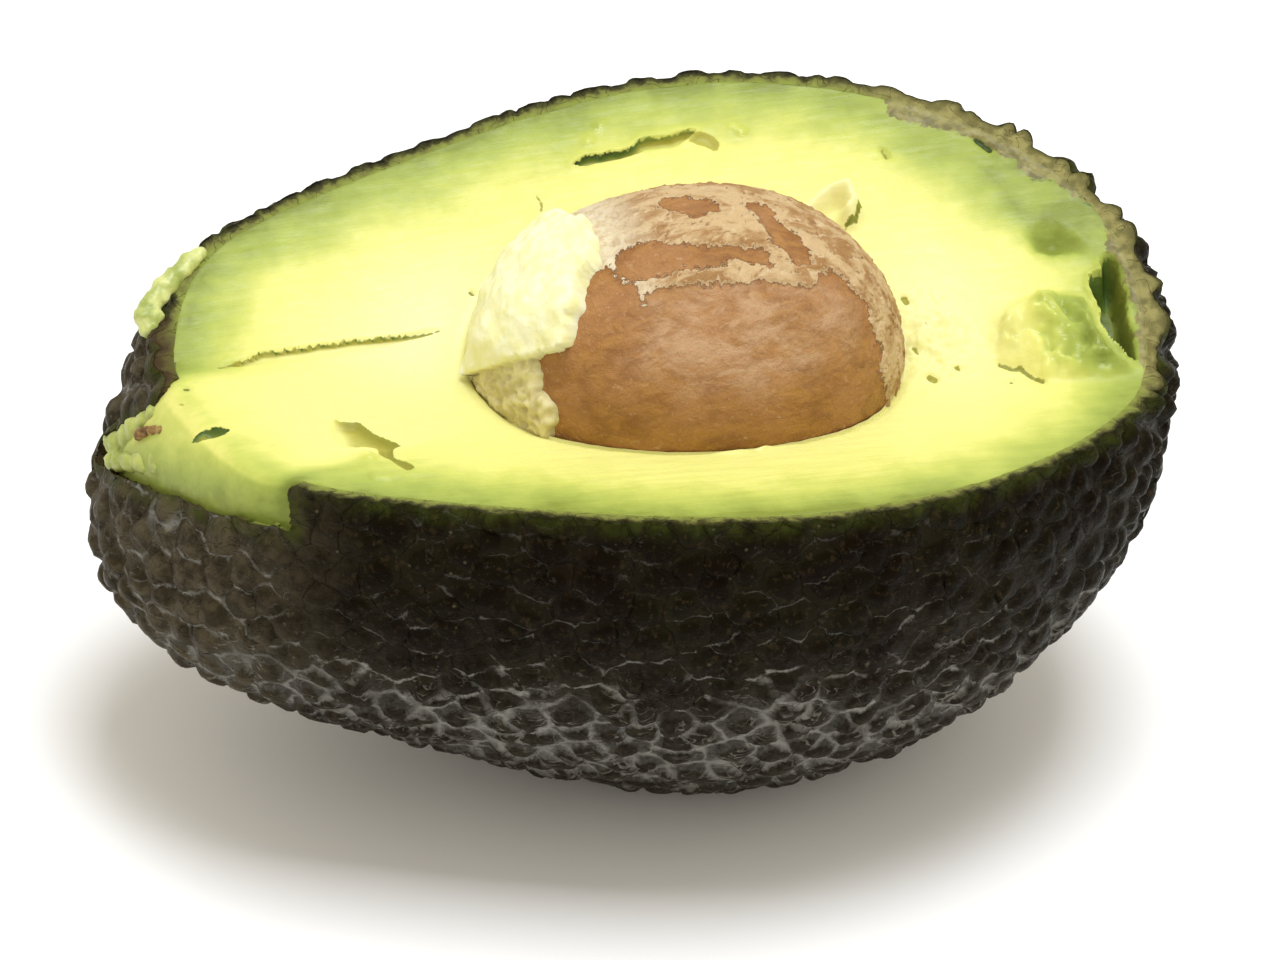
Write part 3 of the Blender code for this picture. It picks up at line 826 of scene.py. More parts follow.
GOUGE_FADED = pairs(
    -30.8, -19.1, -31.3, -17.4, -32.3, -16.1, -32.1, -14.9, -33.3, -14.3, -34.6, -14.3, -36, -13.2,
    -36.2, -10,
)
HOLLOW = pairs(
    47, 0.2, 47.9, -0.7, 47.7, -3.5, 47.9, -4.2, 47.3, -6.9, 47.3, -9, 46.9, -12, 46.3, -11.6,
    44.9, -9.2, 44.3, -7.4, 44.8, -6.4, 44.5, -5, 44.2, -3.2, 44.6, -2.1, 46, -1.7, 45.9, -1,
)
LUMP = pairs(
    38.7, -2.8, 40.3, -2.8, 42.7, -3.6, 44.1, -4.8, 44.2, -7.4, 44.7, -10.6, 46.2, -12.2, 47.1, -13.2,
    45.7, -13.7, 42.2, -13.8, 39, -13, 37.1, -12.8, 35.9, -11.5, 33.8, -10, 32.3, -8.3, 32.8, -6.3,
    33.8, -4.7, 36, -3.7,
)
LUMP_SLIT = pairs(33.2, -9.9, 34.2, -10.6, 35.1, -10.8, 36.1, -12, 37, -12.7)
DENT = pairs(39.4, 3.9, 41.4, 5.4, 43.2, 4.3, 45.2, 1.3, 43.4, 0.6, 41.4, 0.8, 39.6, 1.8)
FLAP = pairs(16.9, 9.5, 18.6, 10.6, 20.6, 11.3, 22.3, 11, 22.6, 9.4, 21.8, 8.6)
FLAP_SHADE = pairs(22.9, 11, 23.3, 9.4, 22.5, 8.1, 21.4, 7.7)
TAN_RIND = pairs(
    29, 19.6, 33, 17.6, 35.5, 16.3, 37.3, 15.4, 38.5, 13.9, 40.3, 12.3, 41.2, 10.2, 43.7, 9.3,
    45.6, 6.8, 47.6, 5, 47.5, 1.5, 46.9, 0.6, 48.3, -0.8, 47.9, -3.8, 48.3, -7.1, 47.6, -9.1,
    47.2, -12.1, 47.5, -16.6, 46.4, -17.4, 46.4, -30, 62, -30, 62, 32, 29, 32,
)
# Small dark places: line of points, half width and tone
SPOTS = (
    (pairs(-48.4, 5.4, -48.8, 4.2, -49.3, 3.1), 0.3, 0.7),
    (pairs(-48.1, 0.6, -48, 0.7), 0.32, 0.52),
    (pairs(-49.4, -2.4, -49.3, -2.4), 0.28, 0.3),
    (pairs(33.8, -12.3, 33.9, -12.3), 0.16, 0.7),
    (pairs(37.1, 15.5, 37.7, 14.8, 38.2, 14.1), 0.26, 0.85),
    (pairs(45.9, 7.5, 46, 6.3, 47, 5.7, 47.8, 5), 0.1, 0.62),
    (pairs(41.3, 10.2, 41.6, 9.8, 43.4, 9.4), 0.09, 0.6),
    (pairs(-8.6, 17.4, -8.3, 16.3, -8.5, 15.6), 0.12, 0.36),
    (pairs(-17.7, 7.4, -17.5, 6.8), 0.16, 0.42),
    (pairs(38.2, 16.9, 38.5, 16.3), 0.15, 0.45),
    (pairs(27.3, 16.2, 27.6, 15.2), 0.16, 0.36),
    (pairs(25.5, -0.9, 25.6, -1.3), 0.34, 0.34),
    (pairs(25, -6.6, 25.3, -7.1), 0.22, 0.34),
    (pairs(25.8, -10.3, 26.3, -10.6), 0.3, 0.3),
    (pairs(28.6, -9.6, 29, -9.7), 0.16, 0.34),
    (pairs(26.9, -4.2, 27.1, -4.4), 0.14, 0.3),
)
# Wet beads and scraps that catch the light
BEADS = pairs(
    -50.5, -14.5, -50.3, -19.6, -39.4, -21, -38.9, -21.8, -38.1, -22.3, -37.4, -22.8, -44.9, -21.9,
    -0.5, 24.2, -2.1, 22.6, 12.9, 21.5, 13.5, 20.7, -33.6, -16.6, -34.4, -13.6, -29, -16.2,
    -41.5, -12.8, -46, -17.5,
)
# Greener places of the face, yellower where negative: how much, and where it sets in, along x and y
GREENER = (
    (3.2, 22, 34, 0, 7),
    (1.2, -38, -46, -6, -12),
    (1.0, -42, -49, 2, 6),
    (-2.0, 16, 28, -8, -14),
    (2.6, 33, 46, -12.5, -17),
)


def pit_edge(azimuth, gap):
    """Places round the pit where it comes out of the face, at a small gap from it."""
    around = table(np.cos(azimuth), np.sin(azimuth))

    def inside(reach):
        x, y = (PIT_CENTRE[:2] + reach[:, None] * around).T
        offset = (table(x, y, face_height(x, y)) - PIT_CENTRE) / PIT_SIZE
        return (offset**2).sum(axis=1) < 1

    reach = settle(np.full(len(azimuth), 4.0), np.full(len(azimuth), 30.0), 24, inside)
    return PIT_CENTRE[:2] + (reach + gap)[:, None] * around


def line_gap(x, y, line, closed=False):
    """Distance of each place to a line of points."""
    best = np.full(len(x), 1e9)
    for a, b in zip(line, np.roll(line, -1, axis=0) if closed else line[1:]):
        d = b - a
        t = np.clip(((x - a[0]) * d[0] + (y - a[1]) * d[1]) / (d @ d), 0, 1)
        best = np.minimum(best, np.hypot(x - (a[0] + t * d[0]), y - (a[1] + t * d[1])))
    return best


def outline_gap(x, y, *parts):
    """Distance of each place to a closed outline, negative inside it."""
    outline = np.concatenate(parts)
    inside = np.zeros(len(x), bool)
    for (ax, ay), (bx, by) in zip(outline, np.roll(outline, -1, axis=0)):
        if ay != by:
            inside ^= ((ay > y) != (by > y)) & (x < ax + (y - ay) / (by - ay) * (bx - ax))
    gap = line_gap(x, y, outline, closed=True)
    return np.where(inside, -gap, gap)


def face_features(x, y):
    """Relief of the cut face in millimetres, and how soft marks, cuts and wet places lie on it."""
    p = table(x, y, np.zeros(len(x)))
    rise = np.zeros(len(x))
    ragged = 0.22 * noise(p, 1.3, 61) + 0.1 * noise(p, 0.5, 62)
    cut_gap = np.full(len(x), 3.0)
    shade_and_spot_tone = np.zeros(len(x))

    # each place keeps the tone of its nearest mark: painted shade in the slits, gashes, nick, gouge,
    # hollows and under the flap, and the small spots' own dark colour
    def cut(gap, tone):
        closer = gap < cut_gap
        shade_and_spot_tone[closer] = np.broadcast_to(tone, len(x))[closer]
        np.minimum(cut_gap, gap, out=cut_gap)

    def sides(crisp, faded):
        return line_gap(x, y, crisp), outline_gap(x, y, crisp, faded)

    # slit where the two knife strokes meet
    far, gap = sides(SLIT_CRISP, SLIT_FADED)
    cut(gap, 0.58 * np.exp(-far / 0.15) + 0.16 * np.exp(-far / 0.8))
    along = step(-45, -42.5, x) * step(-20.5, -22.5, x)
    rise += np.where((gap > 0) & (y > 4.2), 0.4 * np.exp(-far / 2.5), 0.0) * along
    rise -= 0.3 * step(0.15, -0.3, gap)
    # curved gash in the far side
    far, gap = sides(GASH_CRISP, GASH_FADED)
    tone = 0.66 * np.exp(-far / 0.32) + 0.3 * np.exp(-far / 1.2)
    cut(gap, tone * (1 - 0.4 * step(-1, 6, x)))
    rise -= 1.1 * step(0.1, -0.5, gap) * np.exp(-far / 0.9)
    rise += 0.25 * hump(far, 0.6) * (gap > 0)
    gap = outline_gap(x, y, GASH_END)
    cut(gap, 0.27)
    rise -= 0.35 * step(0.1, -0.6, gap)
    # crescent nick
    far, gap = sides(NICK_CRISP, NICK_FADED)
    cut(gap, 0.45 + 0.5 * np.exp(-far / 0.28))
    rise -= 1.0 * step(0.1, -0.6, gap)
    # torn gouge: a smooth slope down to a ragged lip
    far, gap = sides(GOUGE_CRISP, GOUGE_FADED)
    fade = np.maximum(step(-36, -33.6, x), step(-14, -15, y))
    cut(gap, (0.22 + 0.2 * np.exp(-far / 1.4) + 0.06 * np.exp(-far / 0.2)) * fade)
    rise -= 1.0 * step(0.1, -0.9, gap) * (0.4 + 0.6 * np.exp(-far / 1.2))
    rise += spot(x, y, -33.4, -16.4, 1.3, 1.6) * (0.55 + 0.4 * noise(p, 1.1, 63))
    ledge = step(-21.4, -20.8, y + ragged) * step(-34.2, -33.8, x) * step(-24, -29, x)
    rise += 0.3 * ledge * hump(y + 20.9, 2.5)
    # shallow hollow on the far right
    core = spot(x, y, 42.0, 2.9, 1.5, 1.1)
    dent_gap = outline_gap(x, y, DENT) + 2.4 * ragged
    rise -= 0.9 * core + 0.55 * step(0.6, -1.4, dent_gap)
    mark = 0.3 * step(0.9, -1.4, dent_gap) + 0.35 * core
    # deep hollow beside the peel at the blossom end
    gap = outline_gap(x, y, HOLLOW) + 0.3 * ragged
    rise -= 4.6 * step(0.15, -0.75, gap)
    # painted shade in the deep hollow, darkest in two places
    dark = np.maximum(spot(x, y, 46.2, -1.0, 1.0, 0.9), spot(x, y, 45.0, -4.3, 0.9, 2.0))
    cut(gap, 0.55 + 0.38 * dark - 0.06 * step(46.4, 47.6, x))
    rise += 0.5 * hump(gap, 0.45) * (gap > 0) * (x < 46.0)
    # torn glossy lump, in facets
    lump = step(0.3, -1.8, outline_gap(x, y, LUMP) + 1.2 * ragged)
    facets = np.abs(noise(p, 4.6, 71)) + 0.45 * np.abs(noise(p, 1.9, 72)) + 0.15 * noise(p, 0.9, 73)
    rise += lump * (0.7 + 2.3 * facets)
    wet = lump * step(32.5, 36, x)
    mark = np.maximum(mark, 0.34 * lump * step(37.5, 34, x) * (1 + ragged))
    # ragged slit at the lump's foot, where the strokes meet on the right
    far = line_gap(x, y, LUMP_SLIT)
    cut(far - 0.2, 0.32 + 0.2 * np.exp(-far / 0.12))
    rise -= 0.5 * hump(far, 0.4)
    for line, width, tone in SPOTS:
        far = line_gap(x, y, line)
        cut(far - width, tone)
        rise -= 0.45 * hump(far, width + 0.1) * (width > 0.14)
    for bead_x, bead_y in BEADS:
        away = np.hypot((x - bead_x) / 1.2, y - bead_y) + ragged
        rise += 0.3 * hump(away, 0.55)
        wet = np.maximum(wet, step(1, 0.4, away))
    # curled flap behind the pit
    far = line_gap(x, y, FLAP)
    pale = hump(far, 1.1)
    rise += (1.3 + 1.2 * step(18, 22, x) + 0.6 * noise(p, 1.6, 79)) * hump(far, 0.75)
    far = line_gap(x, y, FLAP_SHADE)
    cut(far - 0.16 + ragged * 0.3, 0.34 + 0.24 * np.exp(-far / 0.15))
    # crumbly flesh beside the pit
    near = spot(x, y, 27.3, -6.5, 3.6, 5.0)
    rise += near * (0.85 * layered(p, 1.7, 81) + 0.55 * np.abs(noise(p, 0.9, 85)))
    # rough rind
    tan_gap = outline_gap(x, y, TAN_RIND)
    rise += step(0.3, -0.3, tan_gap) * (0.12 + 0.16 * layered(p, 1.1, 87))
    # greener or yellower than the distance from the peel makes it
    greener = 5.5 * lump * step(34.5, 38.5, x)
    greener += 3.5 * step(36, 41, x + 2 * ragged) * step(-1, 1.5, y)
    greener += 1.5 * step(0.6, -1.2, dent_gap)
    for amount, x_from, x_to, y_from, y_to in GREENER:
        greener += amount * step(x_from, x_to, x) * step(y_from, y_to, y)
    marks = {"mark": mark, "wet": wet, "cut_gap": cut_gap, "shade_and_spot_tone": shade_and_spot_tone}
    marks["tan_gap"] = np.clip(tan_gap, -3, 3)
    return rise, greener, pale, marks


def build_flesh(material):
    turns = even_turns(FLESH_COLUMNS)
    outside = lambda d: raised(d, FLESH_UNDER_PEEL - PEEL_DEPTH)
    polar = cut_polar(turns, outside)
    rim = outside(direction(turns, polar))
    azimuth = np.arctan2(rim[:, 1] - PIT_CENTRE[1], rim[:, 0] - PIT_CENTRE[0])
    gap = 0.05 + 0.55 * hump(azimuth + 2.6, 0.28) + 0.6 * hump(azimuth + 0.75, 0.35)
    ring = table(20 * np.cos(azimuth), 20 * np.sin(azimuth), 0 * azimuth)
    inner = pit_edge(azimuth, gap + 0.1 * noise(ring, 1.2, 91))
    # side wall under the rim, hidden by the peel except where it is torn, then face and hollow
    rows = [outside(direction(turns, np.maximum(polar - drop, 0.02))) for drop in SIDE_DROPS[::-1]]
    first = len(rows)
    for share in np.linspace(0, 1, FACE_ROWS):
        xy = rim[:, :2] * (1 - share) + inner * share
        rows.append(np.column_stack([xy, face_height(*xy.T)]))
    for down, inward in HOLLOW_WALL:
        xy = PIT_CENTRE[:2] + (inner - PIT_CENTRE[:2]) * (1 - inward / HOLLOW_RADIUS)
        rows.append(np.column_stack([xy, face_height(*inner.T) - down]))
    grid = np.stack(rows)
    # where the peel is torn off, the flesh swells out to the peel's own line and is rounded over
    torn = step(-41, -43.6, rim[:, 0]) * step(5, 1, rim[:, 1])
    outward = unit((rim - [[-25.0, 0.0, 0.0]]) * [1.0, 1.0, 0.0])
    inward = np.linalg.norm(grid[:, :, :2] - rim[None, :, :2], axis=2)
    swell = SHOULDER_BULGE * torn * np.clip(1 - inward / SHOULDER_REACH, 0, 1)
    over_tear = z_over_tear(grid[:first].reshape(-1, 3)).reshape(first, -1)
    swell[:first] = torn * SHOULDER_BULGE * step(-1.5, 3.5, over_tear)
    grid += outward[None] * swell[..., None]
    weight = torn * np.clip(1.2 - inward / SHOULDER_REACH, 0, 1)
    weight[:2] = 0
    weight[first + FACE_ROWS - 2 :] = 0
    for _ in range(SHOULDER_PASSES):
        mean = grid[2:] + grid[:-2] + np.roll(grid, 1, axis=1)[1:-1] + np.roll(grid, -1, axis=1)[1:-1]
        grid[1:-1] += (mean / 4 - grid[1:-1]) * (0.5 * weight[1:-1, :, None])
    exposed = np.tile(torn, len(grid))
    # relief of the face
    flat = grid.reshape(-1, 3).copy()
    below = face_height(flat[:, 0], flat[:, 1]) - flat[:, 2]
    cut_at = flat[:, :2] + (below * exposed)[:, None] * np.array(NICK_SLANT)
    rise, greener, pale, marks = face_features(*cut_at.T)
    row = np.repeat(np.arange(len(grid)), FLESH_COLUMNS) - first
    on_face = ((row > 0) & (row < FACE_ROWS - 1)).astype(float)
    edge_fade = step(0, 3, row) * on_face
    flat[:, 2] += rise * edge_fade - 0.06 * (row == 0) * (1 - exposed)
    fibres = layered(flat * np.array([0.12, 1.0, 1.0]), 0.9, 101)
    flat[:, 2] += on_face * (0.05 * fibres + 0.07 * noise(flat, 6.0, 104))
    pitward = row / (FACE_ROWS - 1)
    lip = step(0.93, 1, pitward) * on_face
    flat[:, 2] -= 0.35 * lip**2
    around = np.degrees(np.arctan2(flat[:, 1] - PIT_CENTRE[1], flat[:, 0] - PIT_CENTRE[0]))
    juice = hump(pitward - 0.972, 0.018) * hump(around + 84, 13) * on_face
    flat[:, 2] += 0.42 * juice * (1 + 0.7 * noise(flat, 1.4, 106))
    # the face runs up to the pulp on the pit without a step
    offset = (flat - PIT_CENTRE) / PIT_SIZE
    over_pit = np.clip((np.linalg.norm(offset, axis=1) - 1) * PIT_SIZE[1] - 1.9, 0, 20)
    near_pulp = step(-0.55, -0.75, unit(offset)[:, 0]) * step(-0.2, 0.3, offset[:, 1] + 0.35)
    flat[:, 2] += 1.1 * np.exp(-over_pit / 1.5) * near_pulp * edge_fade * step(1, 0.95, pitward)
    # what the material reads
    x, y = flat[:, 0], flat[:, 1]
    to_rim = nearest(flat, rim[::2])[0][:, 0]
    shoulder = np.clip(1.1 * z_over_tear(flat), 0.4, 6.5) + 1.2 * np.where(row < 0, 0.0, to_rim)
    to_rim = np.where(row < 0, 0.8, to_rim)
    to_rim = to_rim + (shoulder - to_rim) * exposed
    cream = np.maximum(0.95 * spot(x, y, -20, 4, 10.0, 8.0), 0.75 * spot(x, y, 28, -4, 5.5, 8.0))
    marks["rim_gap"] = np.maximum(to_rim - greener, 0.8 * (greener > 0))
    # the wall of the pit's hollow is painted darker green: painted shade
    marks["mark"] = np.where(row >= FACE_ROWS, 0.3, marks["mark"] * edge_fade)
    marks["cream"] = np.maximum(cream, pale)
    marks["wet"] = np.clip(marks["wet"] * edge_fade + 0.5 * lip + juice, 0, 1)
    marks["tan_gap"] = np.where(on_face > 0, marks["tan_gap"], 3.0)
    marks["cut_gap"] = np.where((on_face > 0) | (exposed > 0.5), marks["cut_gap"], 3.0)
    marks = {key: np.append(value, [0.0, 0.0]) for key, value in marks.items()}
    points = np.concatenate([flat, [grid[0].mean(axis=0), grid[-1].mean(axis=0)]])
    ring = np.arange(FLESH_COLUMNS)
    low_end = fan(ring, len(flat))[:, ::-1]
    high_end = fan(ring + len(flat) - FLESH_COLUMNS, len(flat) + 1)
    faces = [ring_quads(len(grid), FLESH_COLUMNS), low_end, high_end]
    new_piece("avocado_flesh", points, faces, material, ("flesh",), marks, SHARP_ANGLE)


# ---- the pit and what clings to it ----

ROUND_SCALE = 0.2985
# Outlines on the pit: millimetres along it from its middle, millimetres round its top
COAT = pairs(
    -30, 22.5, -11.9, 22.5, -10.6, 22.9, -9.9, 20.8, -8.2, 18.7, -8.2, 17, -6.9, 18.1, -4.6, 18.2,
    -1.5, 17.7, 1.7, 17.9, 4.6, 17.6, 6.6, 17.3, 9.2, 17, 12, 20, 13.9, 18.3, 15.4, 15.2, 16.4, 10.6,
    16.8, 6.1, 17.5, 0, 17.5, -12, 30, -12, 30, 60, -30, 60,
)
COAT_BARE = (
    pairs(
        -3.5, 30.8, -1, 30.3, 1.1, 28.9, 1.8, 26.9, -0.1, 26, -1.3, 25.9, -1.9, 26.8, -3.2, 27.9,
        -3.8, 29,
    ),
    pairs(
        4.4, 27.7, 7.2, 28.7, 7.8, 26.1, 9, 24.5, 10.1, 21.8, 9.7, 20, 8.3, 19.3, 7.4, 21, 5.9, 21.9,
        5.9, 23.9, 5.3, 26.3,
    ),
    pairs(
        -9.6, 22.3, -8.9, 24.1, -6.6, 23.9, -3.6, 22.9, -0.7, 21.9, 2.6, 21.8, 5.3, 21.3, 5.8, 19.6,
        4.5, 19.4, 2.1, 19.9, -0.4, 19.4, -3.5, 19.9, -5.1, 19.5, -7.5, 19.2, -9, 19.7, -9.9, 20.8,
    ),
)
# Pale middle of the pit: dust, and painted sheen where the light falls
PIT_SHEEN = pairs(-7, 18.5, 9.5, 17.5, 13.5, 15, 13, 10, 7.7, 8, -2.7, 6.5, -9, 11)
# The pulp: degrees round the pit, then the place of its edge, its thickness and how dull it is
PULP = (
    (-20, 5, 16, 24, 33, 42, 44, 52, 63, 75, 77, 91, 103, 125, 150, 175),
    (
        -0.8, -0.741, -0.741, -0.796, -0.796, -0.81, -0.657, -0.639, -0.583, -0.551, -0.491, -0.454,
        -0.46, -0.5, -0.62, -0.8,
    ),
    (0.8, 1.0, 1.0, 1.0, 1.0, 0.9, 1.8, 2.0, 2.1, 2.1, 2.1, 1.9, 1.8, 1.5, 1.2, 0.6),
    (1, 1, 1, 0.9, 0.9, 0.8, 0.1, 0, 0, 0, 0, 0, 0, 0, 0, 0),
)


def ball(polar, columns):
    """Directions of a ball in rings about the X axis with an end point on each side, and its faces."""
    rows = len(polar)
    polar, turn = np.meshgrid(polar, 2 * math.pi * np.arange(columns) / columns, indexing="ij")
    rings = table(-np.cos(polar), np.sin(polar) * np.cos(turn), np.sin(polar) * np.sin(turn))
    directions = np.concatenate([rings.reshape(-1, 3), [[-1.0, 0, 0], [1.0, 0, 0]]])
    k = np.arange(columns)
    low_end = fan(k, rows * columns)[:, [1, 0, 2]]
    high_end = fan(k + (rows - 1) * columns, rows * columns + 1)
    return directions, ring_quads(rows, columns)[:, ::-1], np.concatenate([low_end, high_end])


def pit_points(extra, directions):
    wave = np.sin(5.1 * directions[:, 0] + 1.3) * np.cos(4.3 * directions[:, 1])
    wave = wave + 0.6 * np.sin(7.7 * directions[:, 2] + 3.1 * directions[:, 0])
    size = PIT_SIZE + np.reshape(extra, (-1, 1))
    return PIT_CENTRE + directions * (size + PIT_UNEVEN * np.reshape(wave, (-1, 1)))


def pit_turn(directions):
    """Degrees round the pit's long axis, 0 towards the near side and 90 at the top."""
    return np.degrees(np.arctan2(directions[:, 2], -directions[:, 1]))


def coat_gap(along, around, p):
    """Distance from the edge of the papery seed coat, negative where it still clings to the pit."""
    x = along + 0.5 * noise(p, 2.4, 112) + 0.3 * noise(p, 0.9, 113)
    y = around + 0.5 * noise(p, 2.4, 114) + 0.3 * noise(p, 0.9, 115)
    gap = outline_gap(x, y, COAT)
    for outline in COAT_BARE:
        gap = np.maximum(gap, -outline_gap(x, y, outline))
    return np.clip(gap, -3, 3)


def build_pit(material):
    directions, quads, ends = ball(math.pi * np.arange(1, 251) / 251, 380)
    p = pit_points(0.0, directions)
    along = directions[:, 0] * PIT_SIZE[0]
    around = pit_turn(directions) * ROUND_SCALE
    gap = coat_gap(along, around, p)
    # thin layers lifted in steps, with ragged edges
    flakes = (2.2 + 1.6 * layered(p * np.array([0.7, 1.0, 1.0]), 4.0, 121, 4)) % 1
    relief = 0.13 * step(0.15, -0.15, gap) + 0.04 * layered(p, 1.4, 125)
    relief += 0.24 * step(0, 0.15, flakes) * (1 - flakes) * step(0.5, -0.5, gap)
    chips = np.clip(noise(p, 0.9, 127) - 0.25, 0, 1)
    relief += 0.22 * chips * (0.4 + step(0.5, -0.5, gap)) + 0.12 * layered(p, 7.0, 128, 2)
    # pale dust and painted sheen on the pit's middle
    pale = step(3.0, -2.0, outline_gap(along, around, PIT_SHEEN) + 0.8 * noise(p, 3.0, 129))
    values = {"coat_gap": gap, "pale": pale, "flakes": flakes, "creamy": step(-4, -10, along)}
    points = pit_points(relief, directions)
    new_piece("avocado_pit", points, [quads, ends], material, ("pit",), values)


def build_pulp(material):
    # rings only where the pulp can be, packed closer together
    directions, quads, ends = ball(np.arccos(-np.linspace(-0.999, -0.36, 150)), 300)
    turn = pit_turn(directions)
    p = pit_points(0.0, directions)
    ragged = 0.02 * noise(p, 2.6, 131) + 0.016 * noise(p, 1.0, 132)
    torn_turn = turn + 2.6 * noise(p, 1.8, 134) + 1.6 * noise(p, 0.7, 136)
    edge, thick = (np.interp(torn_turn, PULP[0], row) for row in PULP[1:3])
    tint = np.interp(turn, PULP[0], PULP[3])
    cover = step(0, 0.05, edge + ragged - directions[:, 0])
    lumps = (0.2 + 0.25 * tint) * layered(p, 3.6, 135, 4)
    extra = -0.5 + cover * (0.5 + thick * (1 + lumps) + (0.05 + 0.25 * tint) * noise(p, 1.1, 139))
    extra -= cover * tint * 0.5 * np.abs(noise(p, 0.9, 140))
    extra += cover * step(95, 120, turn) * (0.7 * noise(p, 4.5, 141) + 0.35 * noise(p, 1.6, 142))
    points = pit_points(extra, directions)
    points[-1] = PIT_CENTRE
    new_piece("pulp_on_pit", points, [quads, ends], material, (), {"tint": tint})


# ---- lumps of flesh and the end of the stem ----

VOXEL = 0.28
# Balls that are melted together: the centre and the half sizes of each in turn
CRUMBS = (
    -43.6, 17.1, 10.9, 1, 0.9, 0.8, -44.5, 16.4, 10.8, 1.2, 1.1, 0.9, -45.5, 15.7, 10.3, 1, 1.1, 0.9,
    -46.5, 15.1, 9.8, 1.2, 1, 1.1, -47.5, 14.3, 9.4, 1.5, 1.2, 1.1, -48.5, 13.5, 8.8, 1.4, 1.3, 1.1,
    -49.3, 12.6, 8.3, 1.2, 1.2, 1.1, -49.9, 11.7, 7.7, 1.5, 1.3, 1.2, -49.8, 10.6, 7.2, 1.3, 1.2, 1.1,
    -49.2, 11.3, 7.9, 1.1, 1.2, 1,
)
LIPS = (
    -54, 6, -3.4, 1.2, 1.5, 1.1, -53.8, 4.7, -2.4, 1.3, 1.5, 1.2, -53.3, 3.6, -1, 1.2, 1.4, 1.3,
    -52.6, 2.6, 0.5, 1.2, 1.3, 1.3, -51.8, 1.8, 1.9, 1.1, 1.2, 1.3, -51, 1.2, 3, 1.1, 1.1, 1.1,
    -54.2, 3.6, -3.7, 1.3, 1.4, 1, -54, 2.2, -3, 1.2, 1.6, 1, -53.4, 0.6, -2, 1.2, 1.6, 1.1,
    -52.5, -1.2, -0.9, 1.2, 1.7, 1.1, -51.4, -3, 0.3, 1.2, 1.7, 1.1,
)
STEM = (
    -52.7, 0.3, 1.5, 0.7, 0.6, 0.8, -52.2, -0.4, 2.3, 0.8, 0.5, 0.7, -51.6, -1.2, 3, 0.7, 0.5, 0.5,
    -51, -2, 3.5, 0.6, 0.5, 0.4,
)


def blob_piece(name, balls, material, stands_for=(), seed=0, rough=0.22):
    """Balls melted into one lumpy piece, with a torn uneven surface."""
    base, quads, ends = ball(math.pi * np.arange(1, 11) / 11, 16)
    points = np.concatenate([base * row[3:] + row[:3] for row in np.reshape(balls, (-1, 6))])
    faces = []
    for start in range(0, len(points), len(base)):
        faces += (quads + start).tolist() + (ends + start).tolist()
    mesh = bpy.data.meshes.new(name)
    mesh.from_pydata(points.tolist(), [], faces)
    obj = add_object(name, mesh)
    melt = obj.modifiers.new("melt", "REMESH")
    melt.mode = "VOXEL"
    melt.voxel_size = VOXEL
    melt.adaptivity = 0.0
    bpy.context.view_layer.update()
    solid = bpy.data.meshes.new_from_object(obj.evaluated_get(bpy.context.evaluated_depsgraph_get()))
    bpy.data.objects.remove(obj)
    places, normals = np.zeros((2, len(solid.vertices) * 3))
    solid.vertices.foreach_get("co", places)
    solid.vertices.foreach_get("normal", normals)
    places, normals = places.reshape(-1, 3), normals.reshape(-1, 3)
    places = places + normals * (rough * layered(places, 1.8, 151 + seed))[:, None]
    sides = [tuple(p.vertices) for p in solid.polygons]
    groups = [np.array([s for s in sides if len(s) == corners]) for corners in (4, 3)]
    bpy.data.meshes.remove(solid)
    new_piece(name, places, [g for g in groups if len(g)], material, stands_for)


# ---- camera, floor and light ----

CAMERA_TURN = -16.589
CAMERA_RISE = 35.536
CAMERA_ROLL = 4.359
CAMERA_AWAY = 877.3
CAMERA_SHIFT = (-1.169, -8.006)
CAMERA_LENS = 243.95
FLOOR_REACH = 3.0
LAMP_PLACE = (0.1, -0.03, 1.5)
LAMP_TARGET = (0.01, 0.0, 0.03)
LAMP_SIZE = 0.66
LAMP_POWER = 17.0


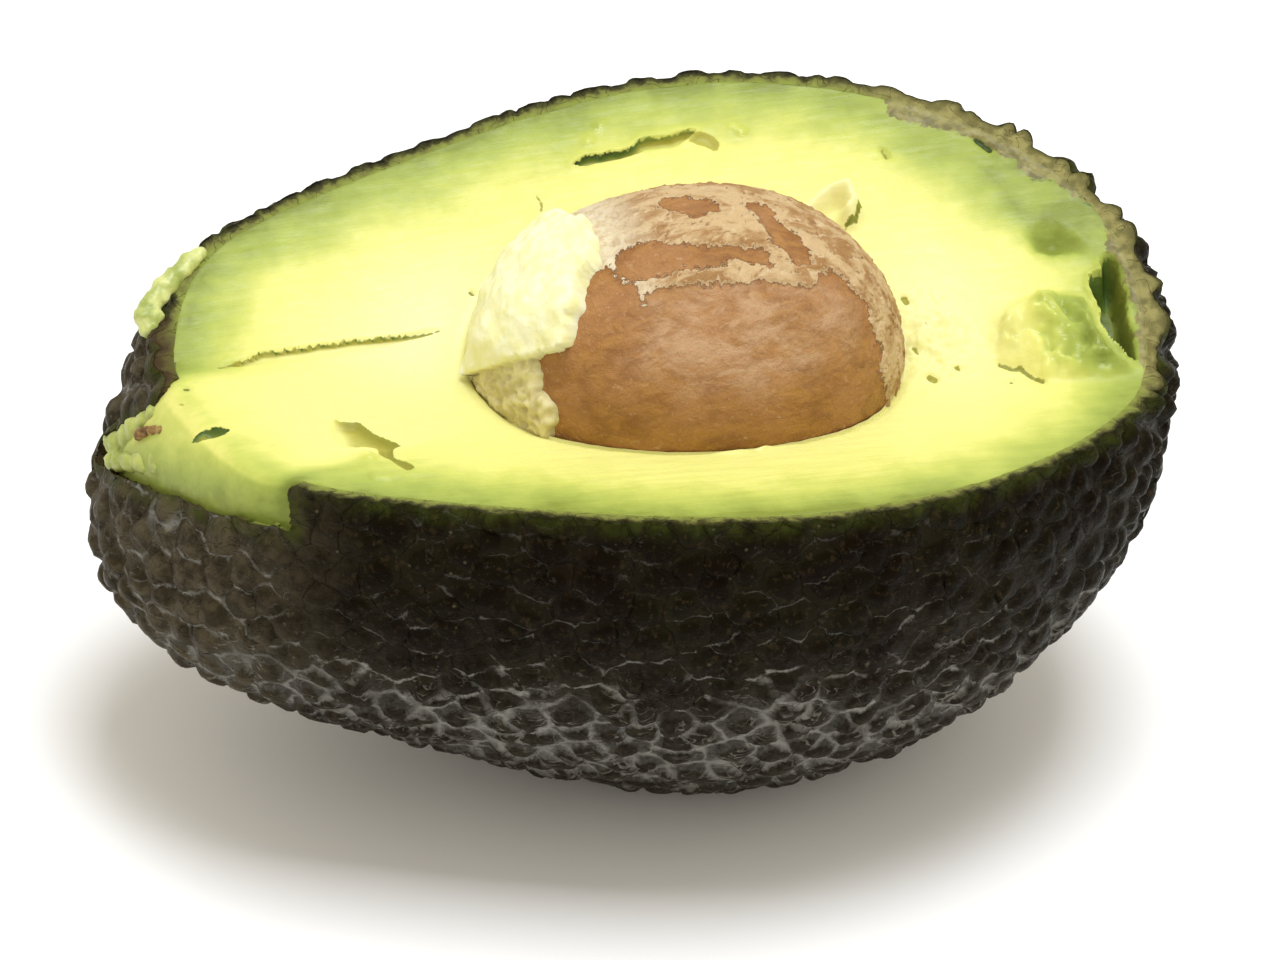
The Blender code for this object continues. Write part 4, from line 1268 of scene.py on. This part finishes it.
def add_camera():
    turn, rise, roll = (math.radians(a) for a in (CAMERA_TURN, CAMERA_RISE, CAMERA_ROLL))
    back = Vector((math.sin(turn) * math.cos(rise), -math.cos(turn) * math.cos(rise), math.sin(rise)))
    right = Vector((math.cos(turn), math.sin(turn), 0))
    up = back.cross(right)
    across = math.cos(roll) * right + math.sin(roll) * up
    upward = -math.sin(roll) * right + math.cos(roll) * up
    eye = back * CAMERA_AWAY + across * CAMERA_SHIFT[0] + upward * CAMERA_SHIFT[1]
    data = bpy.data.cameras.new("camera")
    data.lens = CAMERA_LENS
    data.sensor_width = 36
    data.clip_start, data.clip_end = 0.05, 20
    camera = add_object("camera", data)
    turned = Matrix((across, upward, back)).transposed().to_4x4()
    camera.matrix_world = Matrix.Translation(Vector(stand(np.array(eye)))) @ turned
    bpy.context.scene.camera = camera


def add_floor():
    mesh = bpy.data.meshes.new("floor")
    signs = ((-1, -1), (1, -1), (1, 1), (-1, 1))
    mesh.from_pydata([(x * FLOOR_REACH, y * FLOOR_REACH, 0) for x, y in signs], [], [(0, 1, 2, 3)])
    n = Nodes("floor_white")
    n.set(Base_Color=(0.97, 0.965, 0.95), Roughness=0.8, Specular_IOR_Level=0.2)
    mesh.materials.append(n.material)
    add_object("floor", mesh)


def add_light():
    scene = bpy.context.scene
    scene.world = bpy.data.worlds.new("studio")
    scene.world.use_nodes = True
    background = scene.world.node_tree.nodes["Background"]
    background.inputs["Color"].default_value = (1.0, 0.935, 0.82, 1.0)
    background.inputs["Strength"].default_value = 0.8
    data = bpy.data.lights.new("key", "AREA")
    data.shape = "SQUARE"
    data.size = LAMP_SIZE
    data.energy = LAMP_POWER
    data.color = (0.93, 0.99, 1.08)
    lamp = add_object("key", data)
    lamp.location = LAMP_PLACE
    aim = Vector(LAMP_TARGET) - Vector(LAMP_PLACE)
    lamp.rotation_euler = aim.to_track_quat("-Z", "Y").to_euler()
    scene.view_settings.view_transform = "Standard"
    scene.view_settings.look = "None"
    scene.view_settings.exposure = 0.0


flesh = flesh_material()
pulp = pulp_material()
build_peel(peel_material())
build_flesh(flesh)
build_pit(pit_material())
build_pulp(pulp)
crumbs = crumb_material("crumbs_moist", (0.32, 0.38, 0.085), (0.62, 0.65, 0.25))
lips = crumb_material("lips_moist", (0.25, 0.3, 0.055), (0.44, 0.48, 0.12))
blob_piece("crumbs_on_rim", CRUMBS, crumbs, ("flesh_crumbs",), seed=1)
blob_piece("flesh_at_stem", LIPS, lips, seed=3, rough=0.3)
blob_piece("stem_end", STEM, stem_material(), ("stem_remnant",), seed=2, rough=0.15)
add_camera()
add_floor()
add_light()
